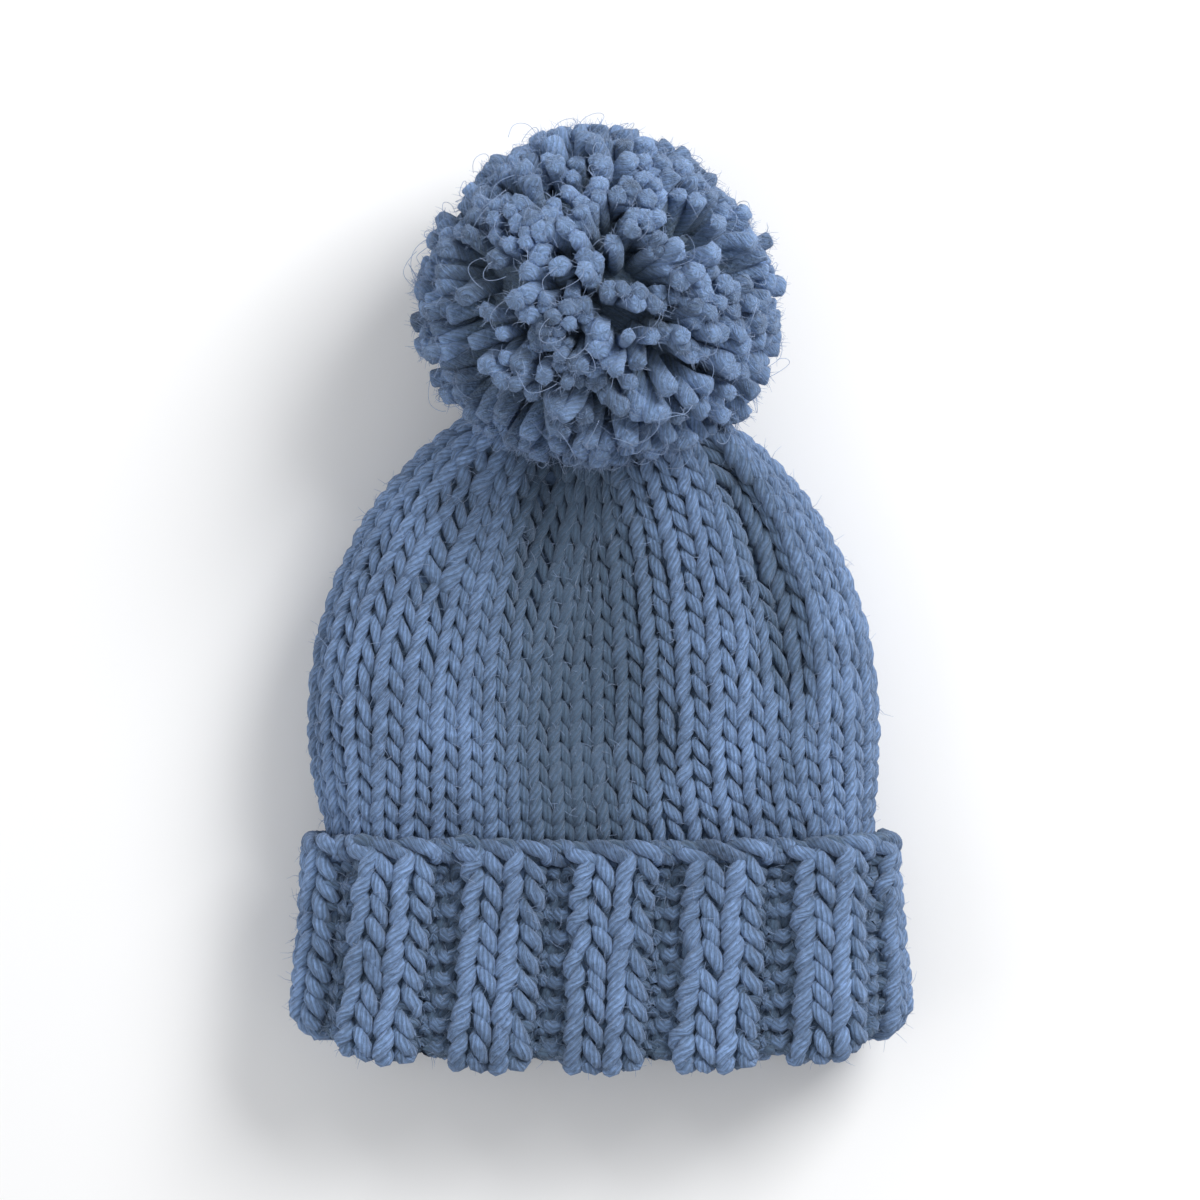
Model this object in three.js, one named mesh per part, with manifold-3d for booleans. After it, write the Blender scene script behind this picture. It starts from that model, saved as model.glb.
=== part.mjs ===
// A chunky hand-knitted bobble hat with a ribbed, turned-up cuff, lying on its back on a flat surface.
// X runs across the hat, Y from the rim to the bobble, and Z up from the surface.
// The origin lies on the surface, at the middle of the hat's length and width.
import * as THREE from "three";
import Module from "manifold-3d";
import { mergeVertices } from "three/addons/utils/BufferGeometryUtils.js";

const wasm = await Module();
wasm.setup();

// Driving dimensions, in millimetres
const fabric = 7.5; // stocking stitch, and the cuff's inner leaf
const outerLeaf = 9; // the cuff's turned-up leaf, over its ribs
const leafGap = 0.9; // between the cuff's two leaves
const joinGap = 0.6; // between the cuff's inner leaf and the crown's lower edge
const seatGap = 0.3; // between other pieces that touch

const cuffDepth = 83; // from the rim up to the cast-on edge
const cuffWidth = 220; // over the ribs, lying flat
const cuffThickness = 60; // lying flat
const cuffTaper = 8; // how much narrower it is at the cast-on edge
const castOnRoll = 4; // rounding of the cast-on edge
const ribRelief = 3.6; // how far the purl valleys lie below the ribs
const ribStart = 6; // how far right of the middle the front's middle rib starts
const ribTwist = 6; // how far a rib drifts back on its way to the rim
const rimSag = 4.5; // how far the rim hangs lower in the middle than at the sides
const rimCorner = 13; // how much higher still the rim's rounded corners lie
const edgeSag = 2.2; // how far the cast-on edge hangs lower in the middle than at the sides
const joinDepth = 15; // the crown's lower edge, below the cast-on edge

const crownWidth = 201.6; // at its widest
const crownStep = 4; // how much thinner than the cuff the crown lies
const crownThickness = cuffThickness - crownStep;
const widestHeight = 123.6; // from the rim to the crown's widest line
const crownDome = 120; // from the widest line to the gathered top
const tipHeight = 28; // of the gathered top, above the surface
const frontCamber = 3; // how far the upper face is arched
const crownShift = -2.5; // how far the crown leans sideways from the cuff

const bobbleWidth = 129;
const bobbleLength = 122;
const bobbleThickness = 126; // before its own weight flattens it
const bobbleSeat = 29.4; // from the gathered top to the bobble's middle
const bobbleSink = 4; // how far its own weight flattens it
const bobbleOffset = -2.5; // its middle, sideways from the cuff's
const lockWidth = 23; // of one tuft of strands, at its tip
const tieRadius = 2.5;
const knotWidth = 13;
const knotLength = 8;
const knotDrop = 4; // of the knot's middle, below the gathered top's

// Counts
const ribCount = 12;
const lockCount = 60;
const lockSides = 5;
const tieSides = 10;
const crownColumns = 48;
const crownLowRows = 3;
const crownDomeRows = 12;

// Where the front's ribs sit closer together than the back's, as a share of the pitch
const ribWarp = 0.07;

// One rib across its pitch: the place of each column and how deep it lies, as a share of the relief
const ribColumns = [
  { name: "rib middle", phase: 0.0, depth: 0 },
  { name: "rib's right shoulder", phase: 0.32, depth: 0.08 },
  { name: "valley's left foot", phase: 0.42, depth: 1 },
  { name: "valley's right foot", phase: 0.58, depth: 1 },
  { name: "rib's left shoulder", phase: 0.68, depth: 0.08 },
];

// Dents of the crown's upper face. Places are shares of the half width (topX, lowX) and of the crown's
// length (from, to); width is a share of the crown's width and depth of its thickness.
const dents = [
  { name: "broad middle hollow", topX: -0.1, lowX: -0.02, width: 0.14, depth: 0.24, from: 0.1, to: 0.97 },
  { name: "crease left of it", topX: -0.16, lowX: -0.3, width: 0.04, depth: 0.12, from: 0.4, to: 0.95 },
  { name: "right crease", topX: 0.7, lowX: 0.68, width: 0.05, depth: 0.15, from: 0.22, to: 0.92 },
  { name: "shallow left dip", topX: -0.6, lowX: -0.52, width: 0.06, depth: 0.05, from: 0.3, to: 0.85 },
];

// The crown's lengths along its middle, as shares
const lowShare = 7 / 26; // below the widest line
const dentFade = 0.18; // over which a dent starts and ends
const envelopeFrom = 0.4; // above this line the bobble lies round the crown
const swellHaste = 0.6; // under 1, so that the crown swells soon above the cuff
const tipReach = 0.998; // how nearly the dome closes
const tipThinning = 0.35; // how much thinner the crown lies at the top
const liftStart = 0.35; // where its underside leaves the surface, as a share of the dome

// The bobble's dense core and its tufts, as shares of the bobble's size
const coreShare = 0.8;
const lockSpread = 0.1; // how much shorter than the bobble a tuft may be
const lockWidths = { least: 0.85, most: 1.1 }; // of the tuft's named width
const lockSections = [
  { name: "root", reach: 0.5, width: 0.5 },
  { name: "shoulder", reach: 0.95, width: 1 },
  { name: "tip", reach: 1, width: 0.62 },
];

// The cuff's cast-on edge, from its end to the ribs: heights as shares of the roll, depths of the leaf.
// sink is how much of a rib's relief each line takes.
const castOnSection = [
  { name: "end", down: 0, inset: 0.5, sink: 0.4 },
  { name: "shoulder", down: 0.3, inset: 0.12, sink: 0.25 },
  { name: "crest", down: 1, inset: 0, sink: 0.2 },
  { name: "first rib row", down: 2.2, inset: 0, sink: 1 },
];
const foldTurns = [30, 60, 90, 120, 150]; // degrees round the fold at the rim

const wool = { color: 0x7087b0, roughness: 0.95, metalness: 0 };

const hatLength = widestHeight + crownDome + bobbleSeat + bobbleLength / 2;
const rimY = -hatLength / 2;
const castOnY = rimY + cuffDepth;
const joinY = castOnY - joinDepth;
const widestY = rimY + widestHeight;
const bobbleMiddle = new THREE.Vector3(
  bobbleOffset,
  hatLength / 2 - bobbleLength / 2,
  bobbleThickness / 2 - bobbleSink,
);

const mix = (a, b, share) => a + (b - a) * share;
const clamp01 = (value) => Math.min(1, Math.max(0, value));
const smooth = (value) => clamp01(value) ** 2 * (3 - 2 * clamp01(value));

// A repeatable number from 0 to 1 for a whole number and a purpose.
function scatter(index, purpose) {
  const value = Math.sin(index * 12.9898 + purpose * 78.233) * 43758.5453;
  return value - Math.floor(value);
}

// A point of a flat-sided oval, two straight runs joined by half circles, moved inwards by inset.
// share runs once round it from the middle of the upper run towards +X.
function ovalPoint(halfWidth, halfHeight, share, inset) {
  const run = halfWidth - halfHeight;
  const quarter = (Math.PI / 2) * halfHeight;
  const half = 2 * run + 2 * quarter;
  const turns = share - Math.floor(share);
  const side = turns > 0.5 ? -1 : 1;
  const along = (side > 0 ? turns : 1 - turns) * 2 * half;
  if (along <= run) return { x: side * along, z: halfHeight - inset };
  if (along >= run + 2 * quarter) return { x: side * (half - along), z: inset - halfHeight };
  const turn = (along - run) / halfHeight;
  const radius = halfHeight - inset;
  return { x: side * (run + radius * Math.sin(turn)), z: radius * Math.cos(turn) };
}

// How far the middle of a round hangs below its sides: most at the rim, none from the widest line up.
function sagAt(y) {
  const atCastOn = (y - rimY) / cuffDepth;
  if (atCastOn < 1) return mix(rimSag, edgeSag, clamp01(atCastOn));
  return edgeSag * (1 - clamp01((y - castOnY) / (widestY - castOnY)));
}

// Puts an oval's point in the hat's frame, with the arched upper face, the sagging middle and the rim's
// rounded corners.
function lay(point, y, halfWidth, halfHeight, middleHeight) {
  const across = Math.min(1, Math.abs(point.x) / halfWidth);
  const upper = Math.max(0, point.z / halfHeight);
  const z = middleHeight + point.z + upper * frontCamber * (1 - across ** 2);
  const corner = rimCorner * (1 - clamp01((y - rimY) / cuffDepth)) ** 2;
  return new THREE.Vector3(point.x, y + sagAt(y) * across ** 2 + corner * across ** 8, z);
}

// The cuff's outer oval at a height from the rim.
const cuffHalfWidth = (y) => (cuffWidth - cuffTaper * smooth((y - rimY) / cuffDepth)) / 2;

function cuffPoint(y, share, inset) {
  const halfWidth = cuffHalfWidth(y);
  return lay(ovalPoint(halfWidth, cuffThickness / 2, share, inset), y, halfWidth, cuffThickness / 2, cuffThickness / 2);
}

// The crown's outer oval from its widest line to the gathered top, at a share of that way.
function domeSection(rise) {
  const reach = rise * tipReach;
  const turn = (reach * Math.PI) / 4 + Math.asin(reach) / 2;
  const halfWidth = (crownWidth / 2) * Math.cos(turn);
  const cap = (crownThickness / 2) * (1 - tipThinning * rise ** 2);
  const halfHeight = (halfWidth ** -3 + cap ** -3) ** (-1 / 3);
  const lift = (tipHeight - crownTipRadius()) * smooth((rise - liftStart) / (1 - liftStart));
  return { y: widestY + crownDome * Math.sin(turn), halfWidth, halfHeight, middle: halfHeight + lift };
}

// The half width that the dome still has where it ends.
function crownTipRadius() {
  return (crownWidth / 2) * Math.cos((tipReach * Math.PI) / 4 + Math.asin(tipReach) / 2);
}

function dentDepth(across, share) {
  return dents.reduce((total, dent) => {
    const middle = mix(dent.lowX, dent.topX, share);
    const distance = ((across - middle) * crownWidth) / 2 / (dent.width * crownWidth);
    const fade = smooth((share - dent.from) / dentFade) * smooth((dent.to - share) / dentFade);
    return total + dent.depth * crownThickness * Math.exp(-(distance ** 2)) * fade;
  }, 0);
}

// A point of the crown's outer face. Below the cast-on edge it follows the cuff, from there it swells.
function crownPoint(share, round) {
  const rise = Math.max(0, (share - lowShare) / (1 - lowShare));
  const section = domeSection(rise);
  const y = share < lowShare ? mix(joinY, widestY, share / lowShare) : section.y;
  const flat = ovalPoint(section.halfWidth, section.halfHeight, round, 0);
  const upper = Math.max(0, flat.z / section.halfHeight);
  const point = lay(flat, y, section.halfWidth, section.halfHeight, section.middle);
  const dent = dentDepth(flat.x / section.halfWidth, share);
  point.z -= upper * dent * (section.halfHeight / (crownThickness / 2));
  point.x += crownShift;
  if (share >= lowShare) return point;
  const swell = smooth(clamp01((y - castOnY) / (widestY - castOnY)) ** swellHaste);
  return cuffPoint(y, round, outerLeaf + leafGap).lerp(point, swell);
}

// The same face moved outwards by offset, or inwards if that is negative.
function crownOffset(share, round, offset) {
  const step = 0.002;
  const low = Math.max(0, share - step);
  const high = Math.min(1, share + step);
  const up = crownPoint(high, round).sub(crownPoint(low, round));
  const along = crownPoint(share, round + step).sub(crownPoint(share, round - step));
  const outwards = new THREE.Vector3().crossVectors(along, up).normalize();
  return crownPoint(share, round).addScaledVector(outwards, offset);
}

// A closed solid through rings of equally many points. A looped one is a tube whose last ring meets
// its first; any other is closed at both ends by a fan.
function ringSolid(rings, looped) {
  const count = rings[0].length;
  const points = rings.flat();
  const faces = [];
  const bands = looped ? rings.length : rings.length - 1;
  for (let i = 0; i < bands; i++) {
    const next = (i + 1) % rings.length;
    for (let j = 0; j < count; j++) {
      const k = (j + 1) % count;
      const [a, b, c, d] = [i * count + j, i * count + k, next * count + k, next * count + j];
      faces.push(a, b, c, a, c, d);
    }
  }
  if (!looped) {
    for (const [ring, turned] of [[0, true], [rings.length - 1, false]]) {
      const middle = rings[ring].reduce((sum, p) => sum.add(p), new THREE.Vector3()).divideScalar(count);
      points.push(middle);
      for (let j = 0; j < count; j++) {
        const [a, b] = [ring * count + j, ring * count + ((j + 1) % count)];
        faces.push(...(turned ? [b, a, points.length - 1] : [a, b, points.length - 1]));
      }
    }
  }
  return solid(points.flatMap((p) => [p.x, p.y, p.z]), faces);
}

// A manifold solid from flat lists of positions and triangles, turned so that its faces point out.
function solid(positions, faces) {
  const made = (list) =>
    new wasm.Manifold(
      new wasm.Mesh({ numProp: 3, vertProperties: new Float32Array(positions), triVerts: new Uint32Array(list) }),
    );
  const first = made(faces);
  if (first.volume() > 0) return first;
  const turned = [];
  for (let i = 0; i < faces.length; i += 3) turned.push(faces[i], faces[i + 2], faces[i + 1]);
  return made(turned);
}

// A three.js geometry as a manifold solid.
function solidOf(geometry) {
  const bare = geometry.clone();
  bare.deleteAttribute("normal");
  bare.deleteAttribute("uv");
  const merged = mergeVertices(bare, 1e-4);
  return solid([...merged.attributes.position.array], [...merged.index.array]);
}

// A named mesh from a manifold solid.
function meshOf(name, made) {
  const { vertProperties, triVerts, numProp } = made.getMesh();
  const positions = [];
  for (let i = 0; i < vertProperties.length; i += numProp) positions.push(...vertProperties.subarray(i, i + 3));
  const geometry = new THREE.BufferGeometry()
    .setAttribute("position", new THREE.Float32BufferAttribute(positions, 3))
    .setIndex([...triVerts]);
  geometry.computeVertexNormals();
  const mesh = new THREE.Mesh(geometry, new THREE.MeshStandardMaterial(wool));
  mesh.name = name;
  return mesh;
}

const largest = (made) => made.decompose().reduce((a, b) => (b.volume() > a.volume() ? b : a));

// The bobble's tie: a shaft from a knot inside the gathered top to the middle of the bobble.
function tieSolid(clearance) {
  const inside = crownOffset(1, 0.5, -fabric);
  const knot = new THREE.Vector3(crownShift, inside.y - knotLength / 2 - seatGap, tipHeight - knotDrop);
  const way = bobbleMiddle.clone().sub(knot);
  const length = way.length();
  const profile = [new THREE.Vector2(0, -knotLength / 2 - clearance)];
  for (const turn of [-60, -30, 0, 30]) {
    const angle = THREE.MathUtils.degToRad(turn);
    profile.push(
      new THREE.Vector2(
        (knotWidth / 2 + clearance) * Math.cos(angle),
        (knotLength / 2 + clearance) * Math.sin(angle),
      ),
    );
  }
  profile.push(new THREE.Vector2(tieRadius + clearance, knotLength / 2 + clearance));
  profile.push(new THREE.Vector2(tieRadius + clearance, length + clearance));
  profile.push(new THREE.Vector2(0, length + clearance));
  const lathe = new THREE.LatheGeometry(profile, tieSides);
  const turned = new THREE.Quaternion().setFromUnitVectors(new THREE.Vector3(0, 1, 0), way.normalize());
  lathe.applyQuaternion(turned).translate(knot.x, knot.y, knot.z);
  return solidOf(lathe);
}

// The crown's rows, as shares of the way from its lower edge to the gathered top. The lowest band is the
// one that the cuff hides.
const castOnShare = (lowShare * joinDepth) / (widestY - joinY);
const crownRows = [
  0,
  ...Array.from({ length: crownLowRows }, (_, i) => mix(castOnShare, lowShare, i / crownLowRows)),
  ...Array.from({ length: crownDomeRows + 1 }, (_, i) => mix(lowShare, 1, i / crownDomeRows)),
];

const crownRing = (share, offset) =>
  Array.from({ length: crownColumns }, (_, j) => crownOffset(share, j / crownColumns, offset));

// The crown: a bag of stocking stitch, open below and gathered at the top.
function crownSolid() {
  const outer = crownRows.map((share) => crownRing(share, 0));
  const inner = crownRows.map((share) => crownRing(share, -fabric)).reverse();
  return ringSolid([...outer, ...inner], true).subtract(tieSolid(seatGap));
}

// The upper crown with a clearance all round, which the bobble's strands lie round.
function crownEnvelope(clearance) {
  const upper = crownRows.filter((share) => share > envelopeFrom);
  return ringSolid(upper.map((share) => crownRing(share, clearance)), false);
}

// The cuff's section, as heights and depths below the outer face. sink is how much of a rib's relief
// the point takes.
function cuffSection() {
  const total = outerLeaf + leafGap + fabric;
  const fold = total / 2;
  const foldMiddle = rimY + fold;
  const points = castOnSection.map(({ down, inset, sink }) => {
    return { y: castOnY - castOnRoll * down, inset: outerLeaf * inset, sink };
  });
  points.push({ y: mix(castOnY, foldMiddle, 0.5), inset: 0, sink: 1 }, { y: foldMiddle, inset: 0, sink: 1 });
  for (const turn of foldTurns) {
    const angle = THREE.MathUtils.degToRad(turn);
    points.push({
      y: foldMiddle - fold * Math.sin(angle),
      inset: fold - fold * Math.cos(angle),
      sink: Math.max(0, Math.cos(angle)) ** 2,
      fold: Math.sin(angle),
    });
  }
  points.push(
    { y: foldMiddle, inset: total, sink: 0 },
    { y: mix(joinY, foldMiddle, 0.5), inset: total, sink: 0 },
    { y: joinY - joinGap, inset: total, sink: 0 },
    { y: joinY - joinGap, inset: outerLeaf + leafGap, sink: 0 },
    { y: foldMiddle, inset: outerLeaf + leafGap, sink: 0 },
    { y: foldMiddle, inset: outerLeaf, sink: 0 },
    { y: castOnY - castOnRoll / 2, inset: outerLeaf, sink: 0 },
  );
  return points;
}

// The cuff: a ribbed band folded at the rim, open where the head goes in.
function cuffSolid() {
  const perimeter = 2 * (cuffWidth - cuffThickness) + Math.PI * cuffThickness;
  const rings = cuffSection().map((at) => {
    const drift = (ribStart - ribTwist * ((castOnY - at.y) / cuffDepth)) / perimeter;
    const ring = [];
    for (let rib = 0; rib < ribCount; rib++) {
      for (const column of ribColumns) {
        const even = (rib + column.phase) / ribCount;
        const share = even - (ribWarp / (2 * Math.PI)) * Math.sin(2 * Math.PI * even) + drift;
        const sink = ribRelief * column.depth;
        ring.push(cuffPoint(at.y + sink * (at.fold ?? 0), share, at.inset + sink * at.sink));
      }
    }
    return ring;
  });
  return ringSolid(rings, true);
}

// One tuft of strands: a cone that widens from the core to a domed tip, no lower than the surface.
function lockSolid(index) {
  const height = 1 - (2 * index) / (lockCount - 1);
  const bearing = index * Math.PI * (3 - Math.sqrt(5));
  const level = Math.sqrt(1 - height ** 2);
  const way = new THREE.Vector3(level * Math.cos(bearing), height, level * Math.sin(bearing));
  const radii = new THREE.Vector3(bobbleWidth, bobbleLength, bobbleThickness).divideScalar(2);
  const reach = 1 - lockSpread * scatter(index, 1) * level;
  const tip = way.clone().multiply(radii).multiplyScalar(reach);
  const width = lockWidth * mix(lockWidths.least, lockWidths.most, scatter(index, 2));
  const side = new THREE.Vector3(-way.y, way.x, 0.01).cross(way).normalize();
  const other = new THREE.Vector3().crossVectors(way, side).normalize();
  const ring = (middle, radius) =>
    Array.from({ length: lockSides }, (_, j) => {
      const angle = (2 * Math.PI * (j + scatter(index, 3))) / lockSides;
      return middle
        .clone()
        .addScaledVector(side, radius * Math.cos(angle))
        .addScaledVector(other, radius * Math.sin(angle));
    });
  const rings = lockSections.map((at) => ring(tip.clone().multiplyScalar(at.reach), (width / 2) * at.width));
  return ringSolid(rings, false).translate(bobbleMiddle.toArray());
}

// The bobble: tufts fused to a dense core, flat where it rests and hollowed where the crown meets it.
function bobbleSolid() {
  const core = new THREE.IcosahedronGeometry(coreShare / 2, 2).scale(bobbleWidth, bobbleLength, bobbleThickness);
  const parts = [solidOf(core).translate(bobbleMiddle.toArray())];
  for (let i = 0; i < lockCount; i++) parts.push(lockSolid(i));
  const whole = wasm.Manifold.union(parts).trimByPlane([0, 0, 1], 0);
  return largest(whole.subtract(crownEnvelope(seatGap)).subtract(tieSolid(seatGap)));
}

const hat = new THREE.Group();
hat.add(meshOf("crown", crownSolid()));
hat.add(meshOf("cuff", cuffSolid()));
hat.add(meshOf("pompom", bobbleSolid()));
hat.add(meshOf("pompom_tie", tieSolid(0)));

export default hat;
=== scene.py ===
# %% [markdown]
# # A chunky hand-knitted bobble hat
# The real hat is knitted from thick plied wool: a stocking-stitch crown, a ribbed cuff turned up once, and
# a bobble of cut yarn tied to the gathered top. Seen close, it is nothing but yarn. So this lesson doesn't
# paint stitches on a smooth bag. It lays the yarn itself, loop after loop, over the fixed frame's surfaces.
# The frame holds the hat's real size, and nothing here moves or resizes it.

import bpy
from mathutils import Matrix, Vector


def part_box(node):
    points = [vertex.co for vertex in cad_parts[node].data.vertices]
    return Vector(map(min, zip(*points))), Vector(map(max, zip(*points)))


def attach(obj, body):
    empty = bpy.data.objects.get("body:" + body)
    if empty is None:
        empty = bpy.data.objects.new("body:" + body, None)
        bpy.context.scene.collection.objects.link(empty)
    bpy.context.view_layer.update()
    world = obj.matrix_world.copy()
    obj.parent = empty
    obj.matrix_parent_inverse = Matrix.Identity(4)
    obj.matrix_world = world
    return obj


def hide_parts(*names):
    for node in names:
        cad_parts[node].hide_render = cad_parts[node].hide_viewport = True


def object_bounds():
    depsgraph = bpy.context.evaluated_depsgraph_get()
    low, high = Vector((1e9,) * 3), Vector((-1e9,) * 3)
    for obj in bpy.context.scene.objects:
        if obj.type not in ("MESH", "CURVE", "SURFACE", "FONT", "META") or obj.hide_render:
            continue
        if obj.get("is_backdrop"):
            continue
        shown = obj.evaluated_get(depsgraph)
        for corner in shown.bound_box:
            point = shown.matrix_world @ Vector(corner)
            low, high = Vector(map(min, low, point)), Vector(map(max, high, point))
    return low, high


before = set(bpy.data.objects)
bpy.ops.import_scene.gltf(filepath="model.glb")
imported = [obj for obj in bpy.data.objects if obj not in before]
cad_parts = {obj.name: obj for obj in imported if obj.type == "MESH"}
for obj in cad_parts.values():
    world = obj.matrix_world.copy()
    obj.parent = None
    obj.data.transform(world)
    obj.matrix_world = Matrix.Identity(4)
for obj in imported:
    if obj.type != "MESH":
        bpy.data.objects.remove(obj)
cad_box = [list(corner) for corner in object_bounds()]
print("frame nodes:", sorted(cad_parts))

# %% Modules, units and a seeded source of chance
import math
import bpy
import numpy as np

MM = 0.001
chance = np.random.default_rng(11)

# %% [markdown]
# ## Camera
# A hat like this is laid on a table and photographed from straight above. The camera hangs over the middle
# of the hat, far enough up that the bobble doesn't look too near, and its lens is worked out from the width
# that it has to take in at the height where the hat is widest.

# %% Camera straight above the hat
CAMERA_HEIGHT = 2400 * MM
VIEW_WIDTH = 420 * MM
VIEW_LEVEL = 45 * MM

camera_data = bpy.data.cameras.new("camera_above")
camera_data.sensor_width = 36
camera_data.lens = camera_data.sensor_width * (CAMERA_HEIGHT - VIEW_LEVEL) / VIEW_WIDTH
camera = bpy.data.objects.new("camera_above", camera_data)
camera.location = (0, 0, CAMERA_HEIGHT)
bpy.context.scene.collection.objects.link(camera)
bpy.context.scene.camera = camera
print(f"lens {camera_data.lens:.1f} mm")

# %% [markdown]
# ## Small tools for arrays of points
# Thousands of stitches are quickest to lay with whole arrays at once. These helpers blend values, ease a
# step, shorten vectors to unit length, and give each stitch its own small deviation, because no hand knits
# two stitches alike.

# %% Array helpers
def mix(a, b, share):
    return a + (b - a) * share


def smooth(value):
    value = np.clip(value, 0, 1)
    return value**2 * (3 - 2 * value)


def unit(vectors):
    return vectors / np.maximum(np.linalg.norm(vectors, axis=-1, keepdims=True), 1e-12)


def wander(stitches, steps, size):
    """A smooth random value along a ring of stitches, with a new aim at each stitch."""
    aims = chance.normal(0, size, stitches)
    along = np.arange(stitches * steps) / steps
    low = along.astype(int)
    ease = smooth(along - low)
    return mix(aims[low], aims[(low + 1) % stitches], ease)


# %% [markdown]
# ## The hat's surfaces
# Lying flat, a knitted tube is a flattened oval: two straight runs joined by half circles. `share` goes once
# round it from the middle of the upper run. The sizes below are those that the frame was built from, so the
# yarn lies exactly in the walls that the frame keeps for it.

# %% Sizes of the hat
HAT_LENGTH = cad_box[1][1] - cad_box[0][1]
RIM_Y = cad_box[0][1]
CUFF_DEPTH = 83 * MM
CUFF_WIDTH = 220 * MM
CUFF_THICKNESS = 60 * MM
CUFF_TAPER = 8 * MM
OUTER_LEAF = 9 * MM
LEAF_GAP = 0.9 * MM
FABRIC = 7.5 * MM
JOIN_DEPTH = 15 * MM
RIM_SAG = 4.5 * MM
RIM_CORNER = 13 * MM
EDGE_SAG = 2.2 * MM
CROWN_WIDTH = 201.6 * MM
CROWN_THICKNESS = 56 * MM
CROWN_DOME = 120 * MM
CROWN_SHIFT = -2.5 * MM
WIDEST_Y = RIM_Y + 123.6 * MM
TIP_HEIGHT = 28 * MM
FRONT_CAMBER = 3 * MM
CAST_ON_Y = RIM_Y + CUFF_DEPTH
JOIN_Y = CAST_ON_Y - JOIN_DEPTH
print(f"hat {HAT_LENGTH:.3f} m long, cast-on edge at y = {CAST_ON_Y:.3f}")


# %% A flattened oval laid in the hat's frame
def oval(half_width, half_height, share, inset):
    run = half_width - half_height
    quarter = math.pi / 2 * half_height
    turns = share % 1.0
    side = np.where(turns > 0.5, -1.0, 1.0)
    along = np.where(side > 0, turns, 1 - turns) * 4 * (run + quarter)
    turn = np.clip((along - run) / half_height, 0, math.pi)
    beyond = np.clip(along - run - 2 * quarter, 0, None)
    radius = half_height - inset
    x = np.minimum(along, run) + radius * np.sin(turn) - beyond
    return side * x, radius * np.cos(turn)


def sag_at(y):
    """How far the middle of a round hangs below its sides, most at the rim."""
    on_cuff = mix(RIM_SAG, EDGE_SAG, np.clip((y - RIM_Y) / CUFF_DEPTH, 0, 1))
    above = EDGE_SAG * (1 - np.clip((y - CAST_ON_Y) / (WIDEST_Y - CAST_ON_Y), 0, 1))
    return np.where(y < CAST_ON_Y, on_cuff, above)


def lay(x, z, y, half_width, half_height, middle):
    across = np.minimum(1, np.abs(x) / half_width)
    upper = np.maximum(0, z / half_height)
    height = middle + z + upper * FRONT_CAMBER * (1 - across**2)
    corner = RIM_CORNER * (1 - np.clip((y - RIM_Y) / CUFF_DEPTH, 0, 1)) ** 2
    return np.stack([x, y + sag_at(y) * across**2 + corner * across**8, height], axis=-1)


def cuff_point(y, share, inset):
    half_width = (CUFF_WIDTH - CUFF_TAPER * smooth((y - RIM_Y) / CUFF_DEPTH)) / 2
    half_height = CUFF_THICKNESS / 2
    x, z = oval(half_width, half_height, share, inset)
    return lay(x, z, y, half_width, half_height, half_height)


# %% [markdown]
# The crown swells out of the cuff, closes in a dome and sinks in the middle, because the hat is empty. The
# dents are soft hollows across its upper face, each with a place, a width and a depth, as shares.

# %% The crown's outer face
LOW_SHARE = 7 / 26
SWELL_HASTE = 0.6
TIP_REACH = 0.998
TIP_THINNING = 0.35
LIFT_START = 0.35
DENT_FADE = 0.18
DENTS = [
    # the broad middle hollow, the crease left of it, the right crease and a shallow left dip
    {"top": -0.1, "low": -0.02, "width": 0.14, "depth": 0.24, "from": 0.1, "to": 0.97},
    {"top": -0.16, "low": -0.3, "width": 0.04, "depth": 0.12, "from": 0.4, "to": 0.95},
    {"top": 0.7, "low": 0.68, "width": 0.05, "depth": 0.15, "from": 0.22, "to": 0.92},
    {"top": -0.6, "low": -0.52, "width": 0.06, "depth": 0.05, "from": 0.3, "to": 0.85},
]


def dome_turn(rise):
    reach = rise * TIP_REACH
    return reach * math.pi / 4 + np.arcsin(reach) / 2


TIP_RADIUS = CROWN_WIDTH / 2 * math.cos(dome_turn(1.0))


def dome_section(rise):
    half_width = CROWN_WIDTH / 2 * np.cos(dome_turn(rise))
    cap = CROWN_THICKNESS / 2 * (1 - TIP_THINNING * rise**2)
    half_height = (half_width**-3 + cap**-3) ** (-1 / 3)
    lift = (TIP_HEIGHT - TIP_RADIUS) * smooth((rise - LIFT_START) / (1 - LIFT_START))
    return WIDEST_Y + CROWN_DOME * np.sin(dome_turn(rise)), half_width, half_height, half_height + lift


def dent_depth(across, share):
    """How far the dents push the front in, at a place from -1 to 1 across and 0 to 1 up."""
    total = 0
    for dent in DENTS:
        distance = (across - mix(dent["low"], dent["top"], share)) / (2 * dent["width"])
        fade = smooth((share - dent["from"]) / DENT_FADE) * smooth((dent["to"] - share) / DENT_FADE)
        total = total + dent["depth"] * CROWN_THICKNESS * np.exp(-(distance**2)) * fade
    return total

# %% A point on the crown
def crown_point(share, around):
    """The crown's outer face, from the share of its height and of the round, with 0 at the front."""
    rise = np.clip((share - LOW_SHARE) / (1 - LOW_SHARE), 0, 1)
    dome_y, half_width, half_height, middle = dome_section(rise)
    y = np.where(share < LOW_SHARE, mix(JOIN_Y, WIDEST_Y, share / LOW_SHARE), dome_y)
    x, z = oval(half_width, half_height, around, 0)
    point = lay(x, z, y, half_width, half_height, middle)
    dent = dent_depth(x / half_width, share) * half_height / (CROWN_THICKNESS / 2)
    point[..., 2] -= np.maximum(0, z / half_height) * dent
    point[..., 0] += CROWN_SHIFT
    low = cuff_point(y, around, OUTER_LEAF + LEAF_GAP)
    swell = smooth(np.clip((y - CAST_ON_Y) / (WIDEST_Y - CAST_ON_Y), 0, 1) ** SWELL_HASTE)[..., None]
    return np.where((share < LOW_SHARE)[..., None], mix(low, point, swell), point)


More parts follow.
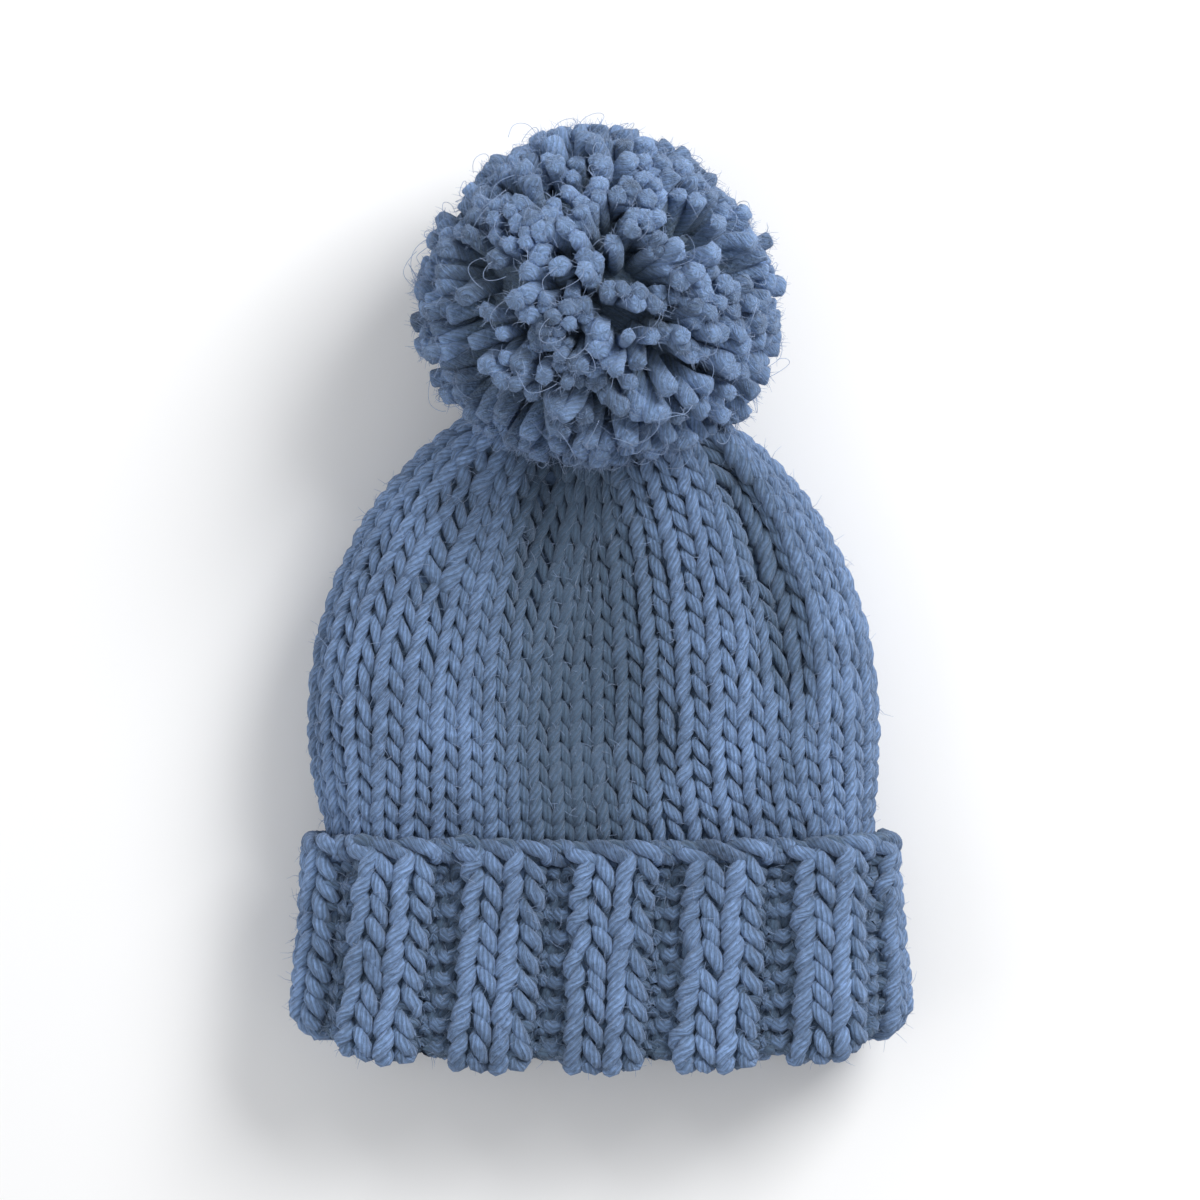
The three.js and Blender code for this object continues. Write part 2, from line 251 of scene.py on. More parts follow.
# %% [markdown]
# Yarn lies at a depth below a face, so each surface also needs its outward normal. It is the cross product
# of the two directions that the surface is measured in, both taken from small steps.

# %% A surface with its normals
def with_normals(surface, first, second, step_first, step_second, flip=1.0):
    point = surface(first, second)
    one = surface(first + step_first, second) - surface(first - step_first, second)
    other = surface(first, second + step_second) - surface(first, second - step_second)
    return point, unit(np.cross(other, one)) * flip


print("crown top:", np.round(crown_point(np.array([1.0]), np.array([0.0])), 4))

# %% [markdown]
# ## Yarn as swept tubes
# A yarn is several plies twisted together. The tube's UV map has the length in one direction and the way
# round in the other, and it turns as the tube travels, so that a band of it is a ply. The finish uses the map
# for plies and fibres, which are too fine to model. Where the yarn is cut, the section can have lobes,
# because there the plies come apart. Two more values go with each point: how deep it lies in the fabric,
# with the flanks deeper than the crest, and a number of the strand's own. Depth sets a painted shade:
# the deeper a point counts, the darker its colour.

# %% Sweep a section along paths
PLY_PITCH = 24 * MM


def sweep(path, up, radius, sides, depth, strand, closed=False, lobe=0.0, edge=0.0):
    """Tubes along paths of (tubes, steps, 3), with a radius for each point. Flanks are deeper by edge, for
    more painted shade.
    """
    tubes, steps, _ = path.shape
    if closed:
        tangent = unit(np.roll(path, -1, axis=1) - np.roll(path, 1, axis=1))
    else:
        tangent = unit(np.gradient(path, axis=1))
    normal = unit(up - np.sum(up * tangent, axis=-1, keepdims=True) * tangent)
    side = np.cross(tangent, normal)
    pieces = np.linalg.norm(np.diff(path, axis=1), axis=-1)
    length = np.concatenate([np.zeros((tubes, 1)), np.cumsum(pieces, axis=1)], axis=1)
    angle = np.broadcast_to(2 * math.pi * np.arange(sides) / sides, (tubes, steps, sides))
    reach = radius[..., None] * (1 + np.asarray(lobe)[..., None] * np.cos(math.pi * np.arange(sides)))
    points = (
        path[:, :, None]
        + (reach * np.cos(angle))[..., None] * normal[:, :, None]
        + (reach * np.sin(angle))[..., None] * side[:, :, None]
    )
    flank = edge * smooth(0.75 - 0.75 * np.cos(angle))
    return {
        "points": points,
        "length": length,
        "depth": np.clip(np.broadcast_to(depth, (tubes, steps))[..., None] - flank, 0, 1),
        "strand": np.broadcast_to(np.asarray(strand).reshape(-1, 1, 1), angle.shape),
        "closed": closed,
    }


# %% [markdown]
# Blender takes a mesh as flat lists. One function turns a set of swept tubes into one object: four-sided
# faces between neighbouring sections, a cap on each open end, the UV map and the two values as attributes.
# Handing over whole arrays is far quicker than making faces one at a time. Yarn that would reach below the
# floor is pressed flat on it.

# %% One mesh from many tubes
def tube_faces(tubes, steps, sides, closed):
    first = np.arange(tubes)[:, None, None] * steps * sides
    ring = np.arange(steps if closed else steps - 1)[None, :, None]
    here, after = first + ring * sides, first + (ring + 1) % steps * sides
    j = np.arange(sides)[None, None, :]
    k = (j + 1) % sides
    return np.stack([here + j, here + k, after + k, after + j], axis=-1).reshape(-1, 4)


def tube_uvs(swept, sides):
    length = swept["length"]
    if swept["closed"]:
        length = np.concatenate([length, length[:, -1:] * 2 - length[:, -2:-1]], axis=1)
    tubes, steps = length.shape
    low, high = length[:, :-1, None], length[:, 1:, None]
    j = np.arange(sides)[None, None, :]
    shape = (tubes, steps - 1, sides)
    corners = [(low, j), (low, j + 1), (high, j + 1), (high, j)]
    turned = [(u, v / sides - u / PLY_PITCH) for u, v in corners]
    stacked = [np.stack([np.broadcast_to(u, shape), np.broadcast_to(v, shape)], -1) for u, v in turned]
    return np.stack(stacked, axis=-2).reshape(-1, 2)


def yarn_object(name, sweeps, material):
    corners, faces, sizes, uvs, values = [], [], [], [], {"depth": [], "strand": []}
    start = 0
    for swept in sweeps:
        tubes, steps, sides, _ = swept["points"].shape
        quads = tube_faces(tubes, steps, sides, swept["closed"]) + start
        faces.append(quads.ravel())
        sizes.append(np.full(len(quads), 4))
        uvs.append(tube_uvs(swept, sides))
        if not swept["closed"]:
            firsts = start + np.arange(tubes)[:, None] * steps * sides
            lasts = firsts + (steps - 1) * sides
            ends = np.concatenate([firsts + np.arange(sides)[::-1], lasts + np.arange(sides)])
            faces.append(ends.ravel())
            sizes.append(np.full(len(ends), sides))
            uvs.append(np.zeros((ends.size, 2)))
        corners.append(swept["points"].reshape(-1, 3))
        for key in values:
            values[key].append(swept[key].ravel())
        start += tubes * steps * sides
    return mesh_object(name, corners, faces, sizes, uvs, values, material)

# %% A mesh and its attributes
def mesh_object(name, corners, faces, sizes, uvs, values, material):
    corners, faces, sizes = np.concatenate(corners), np.concatenate(faces), np.concatenate(sizes)
    corners[:, 2] = np.maximum(corners[:, 2], 0)
    mesh = bpy.data.meshes.new(name)
    mesh.vertices.add(len(corners))
    mesh.vertices.foreach_set("co", corners.astype(np.float32).ravel())
    mesh.loops.add(len(faces))
    mesh.loops.foreach_set("vertex_index", faces.astype(np.int32))
    mesh.polygons.add(len(sizes))
    starts = np.concatenate([[0], np.cumsum(sizes)[:-1]]).astype(np.int32)
    mesh.polygons.foreach_set("loop_start", starts)
    mesh.polygons.foreach_set("use_smooth", np.ones(len(sizes), dtype=bool))
    uv_data = mesh.uv_layers.new(name="yarn").data
    uv_data.foreach_set("uv", np.concatenate(uvs).astype(np.float32).ravel())
    for key, parts in values.items():
        data = mesh.attributes.new(key, "FLOAT", "POINT").data
        data.foreach_set("value", np.concatenate(parts).astype(np.float32))
    mesh.update(calc_edges=True)
    mesh.validate()
    mesh.materials.append(material)
    made = bpy.data.objects.new(name, mesh)
    bpy.context.scene.collection.objects.link(made)
    low, high = np.round(corners.min(axis=0) / MM, 1), np.round(corners.max(axis=0) / MM, 1)
    print(f"{name}: {int(np.sum(sizes - 2))} triangles, from {low} to {high} mm")
    return made


# %% [markdown]
# Between the loops of real knitting there is never a clear hole, because loose wool fills it. A closed sheet
# of felt in the middle of the fabric, made from a grid of points, stands for that filling.

# %% A felt sheet from a grid of points
# The felt counts as half deep, so it gets a middling painted shade.
FELT_DEPTH = 0.5
FELT_STRAND = 0.4


def felt_object(name, grid, material):
    rows, columns, _ = grid.shape
    i = np.arange(rows - 1)[:, None] * columns
    j = np.arange(columns)[None, :]
    k = (j + 1) % columns
    faces = np.stack([i + j, i + columns + j, i + columns + k, i + k], axis=-1).reshape(-1, 4)
    count = rows * columns
    uvs = grid.reshape(-1, 3)[faces.ravel(), :2]
    values = {"depth": [np.full(count, FELT_DEPTH)], "strand": [np.full(count, FELT_STRAND)]}
    sizes = np.full(len(faces), 4)
    return mesh_object(name, [grid.reshape(-1, 3)], [faces.ravel()], [sizes], [uvs], values, material)


# %% [markdown]
# ## The wool's finish
# Wool has no gloss. Its look comes from three sizes of detail: the grooves between plies, the fibres lying
# along each ply, and slow changes of dye from place to place. Light that gets deep between the loops bounces
# from yarn to yarn and comes back dark and a little green-grey, so deep places get a painted shade. The
# knitted yarn and the bobble's yarn share these effects, so each is a node group, placed in both materials
# with its own values.

# %% Node helpers
def new_group(name, inputs, outputs):
    group = bpy.data.node_groups.new(name, "ShaderNodeTree")
    for label, kind, value in inputs:
        socket = group.interface.new_socket(name=label, in_out="INPUT", socket_type=kind)
        socket.default_value = value
    for label, kind in outputs:
        group.interface.new_socket(name=label, in_out="OUTPUT", socket_type=kind)
    return group, group.nodes.new("NodeGroupInput"), group.nodes.new("NodeGroupOutput")


def node(tree, kind, settings=(), **inputs):
    """Adds a node with its properties. Each input, by name or as i0, i1, is a value or a node's output."""
    made = tree.nodes.new(kind)
    for key, value in dict(settings).items():
        setattr(made, key, value)
    for key, value in inputs.items():
        by_number = key[0] == "i" and key[1:].isdigit()
        socket = made.inputs[int(key[1:]) if by_number else key.replace("_", " ")]
        if isinstance(value, bpy.types.NodeSocket):
            tree.links.new(value, socket)
        else:
            socket.default_value = value
    return made


def maths(tree, operation, *values):
    inputs = {f"i{place}": value for place, value in enumerate(values)}
    return node(tree, "ShaderNodeMath", {"operation": operation}, **inputs).outputs[0]


# %% [markdown]
# ### Plies and fibres
# The UV map turns with the plies, so a ply is simply a band of it. The fibres are noise, stretched along the
# yarn by scaling the two UV directions differently, and they fray the plies' edges. Felt is a finer noise,
# the same every way, for loose wool. All come out as one height for a Bump node, the groove as a mask too.

# %% The group for plies and fibres
NUMBER, COLOUR = "NodeSocketFloat", "NodeSocketColor"
RELIEF_INPUTS = [
    ("Plies", NUMBER, 8.0),
    ("Groove", NUMBER, 1.0),
    ("Fibre", NUMBER, 0.5),
    ("Felt", NUMBER, 0.5),
]
FIBRES_ALONG = 90.0
FIBRES_LEAN = -60.0
FIBRES_ROUND = 15.0
FIBRE_NOISE = {"Scale": 2.2, "Detail": 3.0, "Roughness": 0.65}
FELT_NOISE = {"Scale": 520.0, "Detail": 4.0, "Roughness": 0.7}
RAGGED = 1.3


def make_yarn_relief():
    outputs = [("Height", NUMBER), ("Groove Mask", NUMBER), ("Fibre Mask", NUMBER)]
    group, given, result = new_group("yarn_relief", RELIEF_INPUTS, outputs)
    plies, groove, fibre, felt = (given.outputs[label] for label, _, _ in RELIEF_INPUTS)
    uv = node(group, "ShaderNodeUVMap", {"uv_map": "yarn"})
    length, turned, _ = node(group, "ShaderNodeSeparateXYZ", Vector=uv.outputs["UV"]).outputs
    along = maths(group, "MULTIPLY", length, FIBRES_ALONG)
    tilt = maths(group, "MULTIPLY_ADD", length, FIBRES_LEAN, maths(group, "MULTIPLY", turned, FIBRES_ROUND))
    stretched = node(group, "ShaderNodeCombineXYZ", X=along, Y=tilt).outputs[0]
    fibres = node(group, "ShaderNodeTexNoise", Vector=stretched, **FIBRE_NOISE).outputs["Fac"]
    ragged = maths(group, "MULTIPLY_ADD", fibres, RAGGED, maths(group, "MULTIPLY", turned, plies))
    wave = maths(group, "COSINE", maths(group, "MULTIPLY", ragged, 2 * math.pi))
    ridge = maths(group, "SQRT", maths(group, "MULTIPLY_ADD", wave, 0.5, 0.5))
    place = group.nodes.new("ShaderNodeTexCoord").outputs["Object"]
    fluff = node(group, "ShaderNodeTexNoise", Vector=place, **FELT_NOISE).outputs["Fac"]
    height = maths(group, "MULTIPLY_ADD", fibres, fibre, maths(group, "MULTIPLY", ridge, groove))
    height = maths(group, "MULTIPLY_ADD", fluff, felt, height)
    group.links.new(height, result.inputs["Height"])
    group.links.new(maths(group, "SUBTRACT", 1.0, ridge), result.inputs["Groove Mask"])
    group.links.new(fibres, result.inputs["Fibre Mask"])
    return group


# %% [markdown]
# ### Dye and shade
# The colour starts from the dyed wool and is changed four times: by slow and fine blotches, by each strand's
# own number, by the fibres, and by depth. Depth and the grooves between plies bring a painted shade: the deep
# places and the grooves move towards the shade colour.

# %% The group for the dyed colour and its painted shade
DYE_AND_SHADE_INPUTS = [
    ("Wool", COLOUR, (0.16, 0.24, 0.43, 1)),
    ("Shade", COLOUR, (0.03, 0.05, 0.07, 1)),
    ("Groove Mask", NUMBER, 0.0),
    ("Fibre Mask", NUMBER, 0.5),
    ("Mottle", NUMBER, 0.2),
    ("Depth Shade", NUMBER, 0.6),
]
BLOTCH_NOISE = {"Scale": 35.0, "Detail": 2.0}
FINE_NOISE = {"Scale": 420.0, "Detail": 3.0}
STRAND_WEIGHT = 0.6
FIBRE_WEIGHT = 1.7
USUAL_SUM = 2.15
GROOVE_WEIGHT = 0.45
DEEPEST = 0.92


def make_dye_and_painted_shade():
    group, given, result = new_group("dye_and_painted_shade", DYE_AND_SHADE_INPUTS, [("Color", COLOUR)])
    wool, shade, groove, fibre, mottle, depth_shade = (given.outputs[label] for label, _, _ in DYE_AND_SHADE_INPUTS)
    place = group.nodes.new("ShaderNodeTexCoord").outputs["Object"]
    blotch = node(group, "ShaderNodeTexNoise", Vector=place, **BLOTCH_NOISE).outputs["Fac"]
    fine = node(group, "ShaderNodeTexNoise", Vector=place, **FINE_NOISE).outputs["Fac"]
    strand = node(group, "ShaderNodeAttribute", {"attribute_name": "strand"}).outputs["Fac"]
    depth = node(group, "ShaderNodeAttribute", {"attribute_name": "depth"}).outputs["Fac"]
    mixed = maths(group, "MULTIPLY_ADD", strand, STRAND_WEIGHT, maths(group, "ADD", blotch, fine))
    mixed = maths(group, "MULTIPLY_ADD", fibre, FIBRE_WEIGHT, mixed)
    bright = maths(group, "MULTIPLY_ADD", maths(group, "SUBTRACT", mixed, USUAL_SUM), mottle, 1.0)
    tinted = node(group, "ShaderNodeVectorMath", {"operation": "SCALE"}, i0=wool, Scale=bright).outputs[0]
    # Painted shade: deep places and ply grooves are mixed towards the shade colour.
    deep = maths(group, "MULTIPLY", maths(group, "SUBTRACT", 1.0, depth), depth_shade)
    deep = maths(group, "MINIMUM", maths(group, "MULTIPLY_ADD", groove, GROOVE_WEIGHT, deep), DEEPEST)
    shaded = node(group, "ShaderNodeMix", {"data_type": "RGBA"}, i0=deep, i6=tinted, i7=shade)
    group.links.new(shaded.outputs[2], result.inputs["Color"])
    return group


# %% [markdown]
# ### The two materials
# Knitted yarn is taut, so its plies stand clear. In the bobble the cut strands are relaxed and fluffy: the
# plies blur and the fibres show more. Roughness is high in both, and a little sheen gives the soft light
# edge of wool. The sheen's values are plain numbers on the shader's own sockets.

# %% Wool materials
WOOL = (0.198, 0.308, 0.535, 1)
KNIT_SHADE = (0.064, 0.104, 0.155, 1)
BOBBLE_SHADE = (0.105, 0.155, 0.182, 1)
PLIES = 8.0
FIBRE = 1.3
MOTTLE = 1.15
BUMP_STRENGTH = 0.9
SOFT_SURFACE = {
    "Roughness": 0.95,
    "Specular IOR Level": 0.15,
    "Sheen Weight": 0.4,
    "Sheen Roughness": 0.5,
    "Sheen Tint": (0.62, 0.75, 1.0, 1),
}
yarn_relief = make_yarn_relief()
dye_and_painted_shade = make_dye_and_painted_shade()


def new_material(name, surface):
    """A material with these plain values on its shader's own sockets, and its tree and shader."""
    material = bpy.data.materials.new(name)
    material.use_nodes = True
    shader = material.node_tree.nodes["Principled BSDF"]
    for label, value in surface.items():
        shader.inputs[label].default_value = value
    return material, material.node_tree, shader


def wool_material(name, shade, groove, felt, depth_shade, bump_height):
    material, tree, shader = new_material(name, SOFT_SURFACE)
    use = {"node_tree": yarn_relief}
    relief = node(tree, "ShaderNodeGroup", use, Plies=PLIES, Groove=groove, Fibre=FIBRE, Felt=felt).outputs
    masks = {"Groove_Mask": relief["Groove Mask"], "Fibre_Mask": relief["Fibre Mask"]}
    tones = {"Wool": WOOL, "Shade": shade, "Mottle": MOTTLE, "Depth_Shade": depth_shade}
    colour_with_shade = node(tree, "ShaderNodeGroup", {"node_tree": dye_and_painted_shade}, **masks, **tones)
    rise = relief["Height"]
    bump = node(tree, "ShaderNodeBump", Height=rise, Strength=BUMP_STRENGTH, Distance=bump_height)
    tree.links.new(colour_with_shade.outputs["Color"], shader.inputs["Base Color"])
    tree.links.new(bump.outputs["Normal"], shader.inputs["Normal"])
    return material


knit_wool = wool_material(
    "knit_wool", KNIT_SHADE, groove=0.55, felt=1.5, depth_shade=0.85, bump_height=0.8 * MM
)
bobble_yarn = wool_material(
    "bobble_yarn", BOBBLE_SHADE, groove=0.2, felt=2.8, depth_shade=0.75, bump_height=1.0 * MM
)
print("two wool finishes, with", int(PLIES), "plies round the yarn")

# %% [markdown]
# ## One knitted row
# A stitch is a loop drawn through the loop below. Followed from left to right, the yarn starts low and at
# the back, climbs the left leg at the front, goes behind at the top, and comes down the right leg. Sines
# give that path: one turn of `t` is one stitch. The second harmonic across makes the two legs lean apart
# into a V, and in depth it brings the legs forward and keeps them there. Twisted yarn always leans: here the
# right legs stand up and join into a rope, and the left legs lie between the ropes like seeds. A purl stitch
# is the same loop seen from behind, so its depth is turned round, and at a border between knit and purl it
# passes through the middle.

# %% The path of a row of stitches
LEG_SPREAD = 0.235
LEG_LEAN = 0.08
LOOP_REACH = 0.98
SHINGLE = 0.12
ROPE_FORWARD = 0.13
PLATEAU = 0.4
UNEVEN = {"spread": 0.02, "across": 0.03, "reach": 0.04, "up": 0.06}


def row_path(stitches, steps, uneven):
    """Across and up the fabric in stitches and rows, and how far forward, from -1 to 1, for one round."""
    t = 2 * math.pi * np.arange(stitches * steps) / steps
    spread = LEG_SPREAD + wander(stitches, steps, UNEVEN["spread"] * uneven)
    across = t / (2 * math.pi) + spread * np.sin(2 * t) + LEG_LEAN * np.cos(t)
    across += wander(stitches, steps, UNEVEN["across"] * uneven)
    up = 0.5 - (LOOP_REACH + wander(stitches, steps, UNEVEN["reach"] * uneven)) * np.cos(t)
    up += wander(stitches, steps, UNEVEN["up"] * uneven)
    wave = -np.cos(2 * t)
    legs = (1 + PLATEAU) * wave - PLATEAU * wave**3
    return t, across, up, legs + SHINGLE * np.cos(t) - ROPE_FORWARD * np.sin(t)


# %% [markdown]
# ## The crown
# The crown is plain stocking stitch, knit side out: 48 stitches round, a row every 7 mm from inside the cuff
# to the gathered top. The rows are evenly spaced up the middle. At the sides they curve up, because the
# wales there lean in to the top and the rows stay nearly square to them. On the front, the stitches on the
# ridges are spread and those in the hollow are drawn together. Little light comes into the middle hollow, so
# its yarn counts as deeper and gets a painted shade.

# %% Rows and wales of the crown
CROWN_PITCH = 7.0 * MM
CROWN_BOW = 95 * MM
FRONT_WIDTHS = [1.2, 1.24, 1.24, 1.2, 1.1, 1.04, 0.93, 0.88, 0.82, 0.78, 0.76, 0.76]
FRONT_WIDTHS += [0.78, 0.86, 1.15, 1.25, 1.18, 1.02, 0.94, 0.95, 1.05, 1.15, 1.22, 1.25]
BACK_QUARTER = [1.0] * 12
warp_table = np.cumsum([0] + BACK_QUARTER + FRONT_WIDTHS + BACK_QUARTER)
warp_table = warp_table / warp_table[-1]
share_table = np.linspace(0, 0.999, 400)
height_table = np.where(
    share_table < LOW_SHARE,
    mix(JOIN_Y, WIDEST_Y, share_table / LOW_SHARE),
    dome_section(np.clip((share_table - LOW_SHARE) / (1 - LOW_SHARE), 0, 1))[0],
)
CROWN_ROWS = int((height_table[-1] - JOIN_Y) / CROWN_PITCH)


def warped(around):
    return np.interp((around + 0.5) % 1.0, np.linspace(0, 1, len(warp_table)), warp_table) - 0.5


def crown_share(height, around):
    share = np.interp(height, height_table, share_table)
    rise = np.clip((share - LOW_SHARE) / (1 - LOW_SHARE), 0, 1)
    bowed = height + CROWN_BOW * np.sin(2 * math.pi * around) ** 2 * rise * (1 - rise) ** 2
    return np.interp(bowed, height_table, share_table)


print(CROWN_ROWS, "crown rows")

# %% [markdown]
# A dome closes because stitches are knitted together as it rises. The round has eight sections. Each one
# loses a wale whenever the dome has shrunk by one stitch's width: the wale next to the line narrows over a
# few rows and ends. Half of the sections do it a few rows later than their neighbours, so no ring shows. The
# other wales of the section follow its outer side, so they lean in to the top. Hand knitting in the round
# also turns a little as it grows, so the lines lean to the right.

# %% Stitches of one round
SECTIONS = 8
SECTION_STITCHES = 6
FEWEST = 2
CROWN_TWIST = 0.035
NARROWEST = 0.42
LATE_SECTIONS = (0, 2, 4, 7)
DELAY = 0.17


def round_length(rise):
    _, half_width, half_height, _ = dome_section(rise)
    return 4 * (half_width - half_height) + 2 * math.pi * half_height


def stitch_edges(rise):
    """Where each stitch of a round starts, as shares of the round."""
    fit = max(FEWEST, SECTION_STITCHES * round_length(rise) / round_length(0.0))
    edges = []
    for section in range(SECTIONS):
        delay = DELAY if section in LATE_SECTIONS else -DELAY
        count = max(FEWEST, math.ceil(fit - NARROWEST + delay))
        inside = np.append(np.arange(count) / fit, 1)
        edges.append(section + (1 - inside[::-1] if section % 4 < 2 else inside)[:-1])
    return np.append(np.concatenate(edges), SECTIONS) / SECTIONS


print("stitches round:", [len(stitch_edges(rise)) - 1 for rise in np.linspace(0, 1, 7)])

# %% One round of crown yarn
STEPS = 18
YARN_SIDES = 8
YARN_RADIUS = 2.25 * MM
LEG_FORWARD = 2.0 * MM
LEG_SWELL = 0.3
ROPE_GAIN = 0.04
FLANK_SHADE = 0.5
CROWN_UNEVEN = 1.4
RADIUS_UNEVEN = 0.06
FACE_STEP = 0.002
HOLLOW_SHADE = 1.1
HOLLOW_FROM = 0.3
HOLLOW_LOW = 0.75
THICKEST = 0.208
STOUTEST = 2.6 * MM
BACK_SIDES = 6
FELT_COLUMNS = 120
FELT_ROWS = 60
FELT_TOP = 0.985


def leg_swell(forward):
    """Yarn is plump along the legs and behind, and squeezed where it passes from front to back."""
    return LEG_SWELL * (1.3 * np.abs(forward) - 0.75)


def hollow_shadow(face, share, around):
    """1 in the front's middle hollow, where little light comes, and less towards the cuff."""
    rise = np.clip((share - LOW_SHARE) / (1 - LOW_SHARE), 0, 1)
    sideways = (face[:, 0] - CROWN_SHIFT) / dome_section(rise)[1]
    hollow = dent_depth(sideways, np.maximum(share, HOLLOW_FROM)) / (DENTS[0]["depth"] * CROWN_THICKNESS)
    hollow = np.where(np.abs(around) < 0.25, hollow, 0)
    return hollow * mix(HOLLOW_LOW, 1, np.clip(share / HOLLOW_FROM, 0, 1))


def crown_row(row):
    """One round of crown yarn: its path, the normals, radii and depths."""
    height = JOIN_Y + (row + 0.5) * CROWN_PITCH
    mid_rise = max(0, (np.interp(height, height_table, share_table) - LOW_SHARE) / (1 - LOW_SHARE))
    edges = stitch_edges(mid_rise)
    stitches = len(edges) - 1
    t, across, up, forward = row_path(stitches, STEPS, CROWN_UNEVEN)
    wale = across % stitches
    around = warped(np.interp(wale, np.arange(stitches + 1), edges)) + CROWN_TWIST * mid_rise**2
    share = crown_share(JOIN_Y + (row + up) * CROWN_PITCH, around)
    face, outward = with_normals(crown_point, share, around, FACE_STEP, FACE_STEP)
    widths = np.interp(wale, np.arange(stitches) + 0.5, np.diff(edges)) * round_length(mid_rise)
    radius = np.minimum(STOUTEST, THICKEST * widths)
    uneven = wander(stitches, STEPS, RADIUS_UNEVEN)
    radius = radius * (1 - ROPE_GAIN * np.sin(t) + leg_swell(forward) + uneven)
    path = face + outward * (forward * LEG_FORWARD - YARN_RADIUS - LEG_FORWARD)[:, None]
    depth = 0.5 + 0.5 * forward - HOLLOW_SHADE * hollow_shadow(face, share, around)
    return path, outward, radius, np.clip(depth, 0, 1)

# %% Knit the crown
def split_round(values, part):
    """The front or back half of a round, as one open run that ends at the hat's two sides."""
    half = len(values) // 2
    rolled = np.roll(values, half // 2, axis=0)
    return rolled[: half + 1] if part == "front" else np.concatenate([rolled[half:], rolled[:1]])


def strand_number(row):
    """Rows differ only a little, because one long yarn makes them all."""
    return 0.5 + 0.05 * math.sin(2.4 * row)


def crown_sweeps(part):
    sides = YARN_SIDES if part == "front" else BACK_SIDES
    sweeps = []
    for row, values in enumerate(crown_rows):
        path, outward, radius, depth = (split_round(value, part)[None] for value in values)
        sweeps.append(sweep(path, outward, radius, sides, depth, [strand_number(row)], edge=FLANK_SHADE))
    return sweeps


crown_rows = [crown_row(row) for row in range(CROWN_ROWS)]
crown_front_sweeps = crown_sweeps("front")
crown_back_sweeps = crown_sweeps("back")
crown_front = yarn_object("crown_front_knit", crown_front_sweeps, knit_wool)
crown_back = yarn_object("crown_back_knit", crown_back_sweeps, knit_wool)


def crown_felt_grid():
    shares = np.linspace(0, FELT_TOP, FELT_ROWS)
    share, around = np.meshgrid(shares, np.arange(FELT_COLUMNS) / FELT_COLUMNS, indexing="ij")
    face, outward = with_normals(crown_point, share, around, FACE_STEP, FACE_STEP)
    return face - outward * (YARN_RADIUS + LEG_FORWARD)


crown_felt = felt_object("crown_felt", crown_felt_grid(), knit_wool)
for piece in (crown_front, crown_back, crown_felt):
    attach(piece, "root")
    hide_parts("crown")

# %% [markdown]
# ## The cuff
# The cuff is 2 x 2 rib: two knit stitches stand out as a rib, and two purl stitches sink between ribs. It
# was knitted first and turned up, so its outer leaf runs down from the cast-on edge, round the fold at the
# rim, and up again inside. That is why the Vs of its ribs point the other way. Here the yarn follows one
# surface all the way: distance from the cast-on edge goes down, round a small half circle and up.

# %% The cuff's surface
RIBS = 12
RIB_WARP = 0.07
RIB_START = 6 * MM
RIB_TWIST = 6 * MM
RIB_RELIEF = 5.0 * MM
RIB_CAMBER = 1.2 * MM
RIB_RADIUS = 2.45 * MM
RIB_FORWARD = 2.1 * MM
PERIMETER = 2 * (CUFF_WIDTH - CUFF_THICKNESS) + math.pi * CUFF_THICKNESS
LEAVES = OUTER_LEAF + LEAF_GAP + FABRIC
OUTER_MIDDLE = RIB_RADIUS + RIB_FORWARD
INNER_MIDDLE = LEAVES - RIB_RADIUS - RIB_FORWARD
FOLD_RADIUS = (INNER_MIDDLE - OUTER_MIDDLE) / 2
FOLD_Y = RIM_Y + LEAVES / 2
OUTER_RUN = CAST_ON_Y - FOLD_Y
FOLD_FACE = FOLD_RADIUS + 2 * MM
FOLD_RUN = math.pi * FOLD_FACE
RIB_PHASES = [0, 0.34, 0.425, 0.66, 1]
BORDER = 0.3
VALLEY_FROM = 0.27
VALLEY_SLOPE = 0.13
RELIEF_AT_EDGE = 0.3
RELIEF_RUN = 12 * MM
SOFT_CORNER = 7 * MM


def rib_phase(wale):
    """Where a wale lies across its rib's pitch: knit wales are wide and purl wales are narrow."""
    return np.floor(wale / 4) + np.interp(wale % 4, [0, 1, 2, 3, 4], RIB_PHASES)


def knit_or_purl(wale):
    """1 in a knit wale, -1 in a purl wale, and between them at a border."""
    from_rib = np.abs((wale + 2) % 4 - 2)
    return np.clip((1 - from_rib) / BORDER, -1, 1)

# %% A point in the cuff's fabric
def cuff_surface(run, wale):
    """The middle of the cuff's fabric, from the distance below the cast-on edge and the wale."""
    turn = np.clip((run - OUTER_RUN) / FOLD_FACE, 0, math.pi)
    inside = np.clip(run - OUTER_RUN - FOLD_RUN, 0, None)
    phase = rib_phase(wale)
    valley = smooth((0.5 - np.abs(phase % 1 - 0.5) - VALLEY_FROM) / VALLEY_SLOPE)
    camber = RIB_CAMBER * (1 - np.cos(2 * math.pi * phase)) / 2
    relief = (RIB_RELIEF * valley + camber) * mix(RELIEF_AT_EDGE, 1, smooth(run / RELIEF_RUN))
    y = CAST_ON_Y - np.minimum(run, OUTER_RUN) - FOLD_RADIUS * np.sin(turn) + inside
    y = y + relief * np.sin(turn)
    inset = OUTER_MIDDLE + FOLD_RADIUS * (1 - np.cos(turn)) + relief * np.maximum(0, np.cos(turn))
    even = phase / RIBS
    drift = (RIB_START - RIB_TWIST * (CAST_ON_Y - y) / CUFF_DEPTH) / PERIMETER
    share = even - RIB_WARP / (2 * math.pi) * np.sin(2 * math.pi * even) + drift
    point = cuff_point(y, share, inset)
    across = np.minimum(1, np.abs(point[..., 0]) / (CUFF_WIDTH / 2))
    point[..., 1] += SOFT_CORNER * np.clip((CAST_ON_Y - y) / CUFF_DEPTH, 0, 1) ** 3 * across**6
    return point


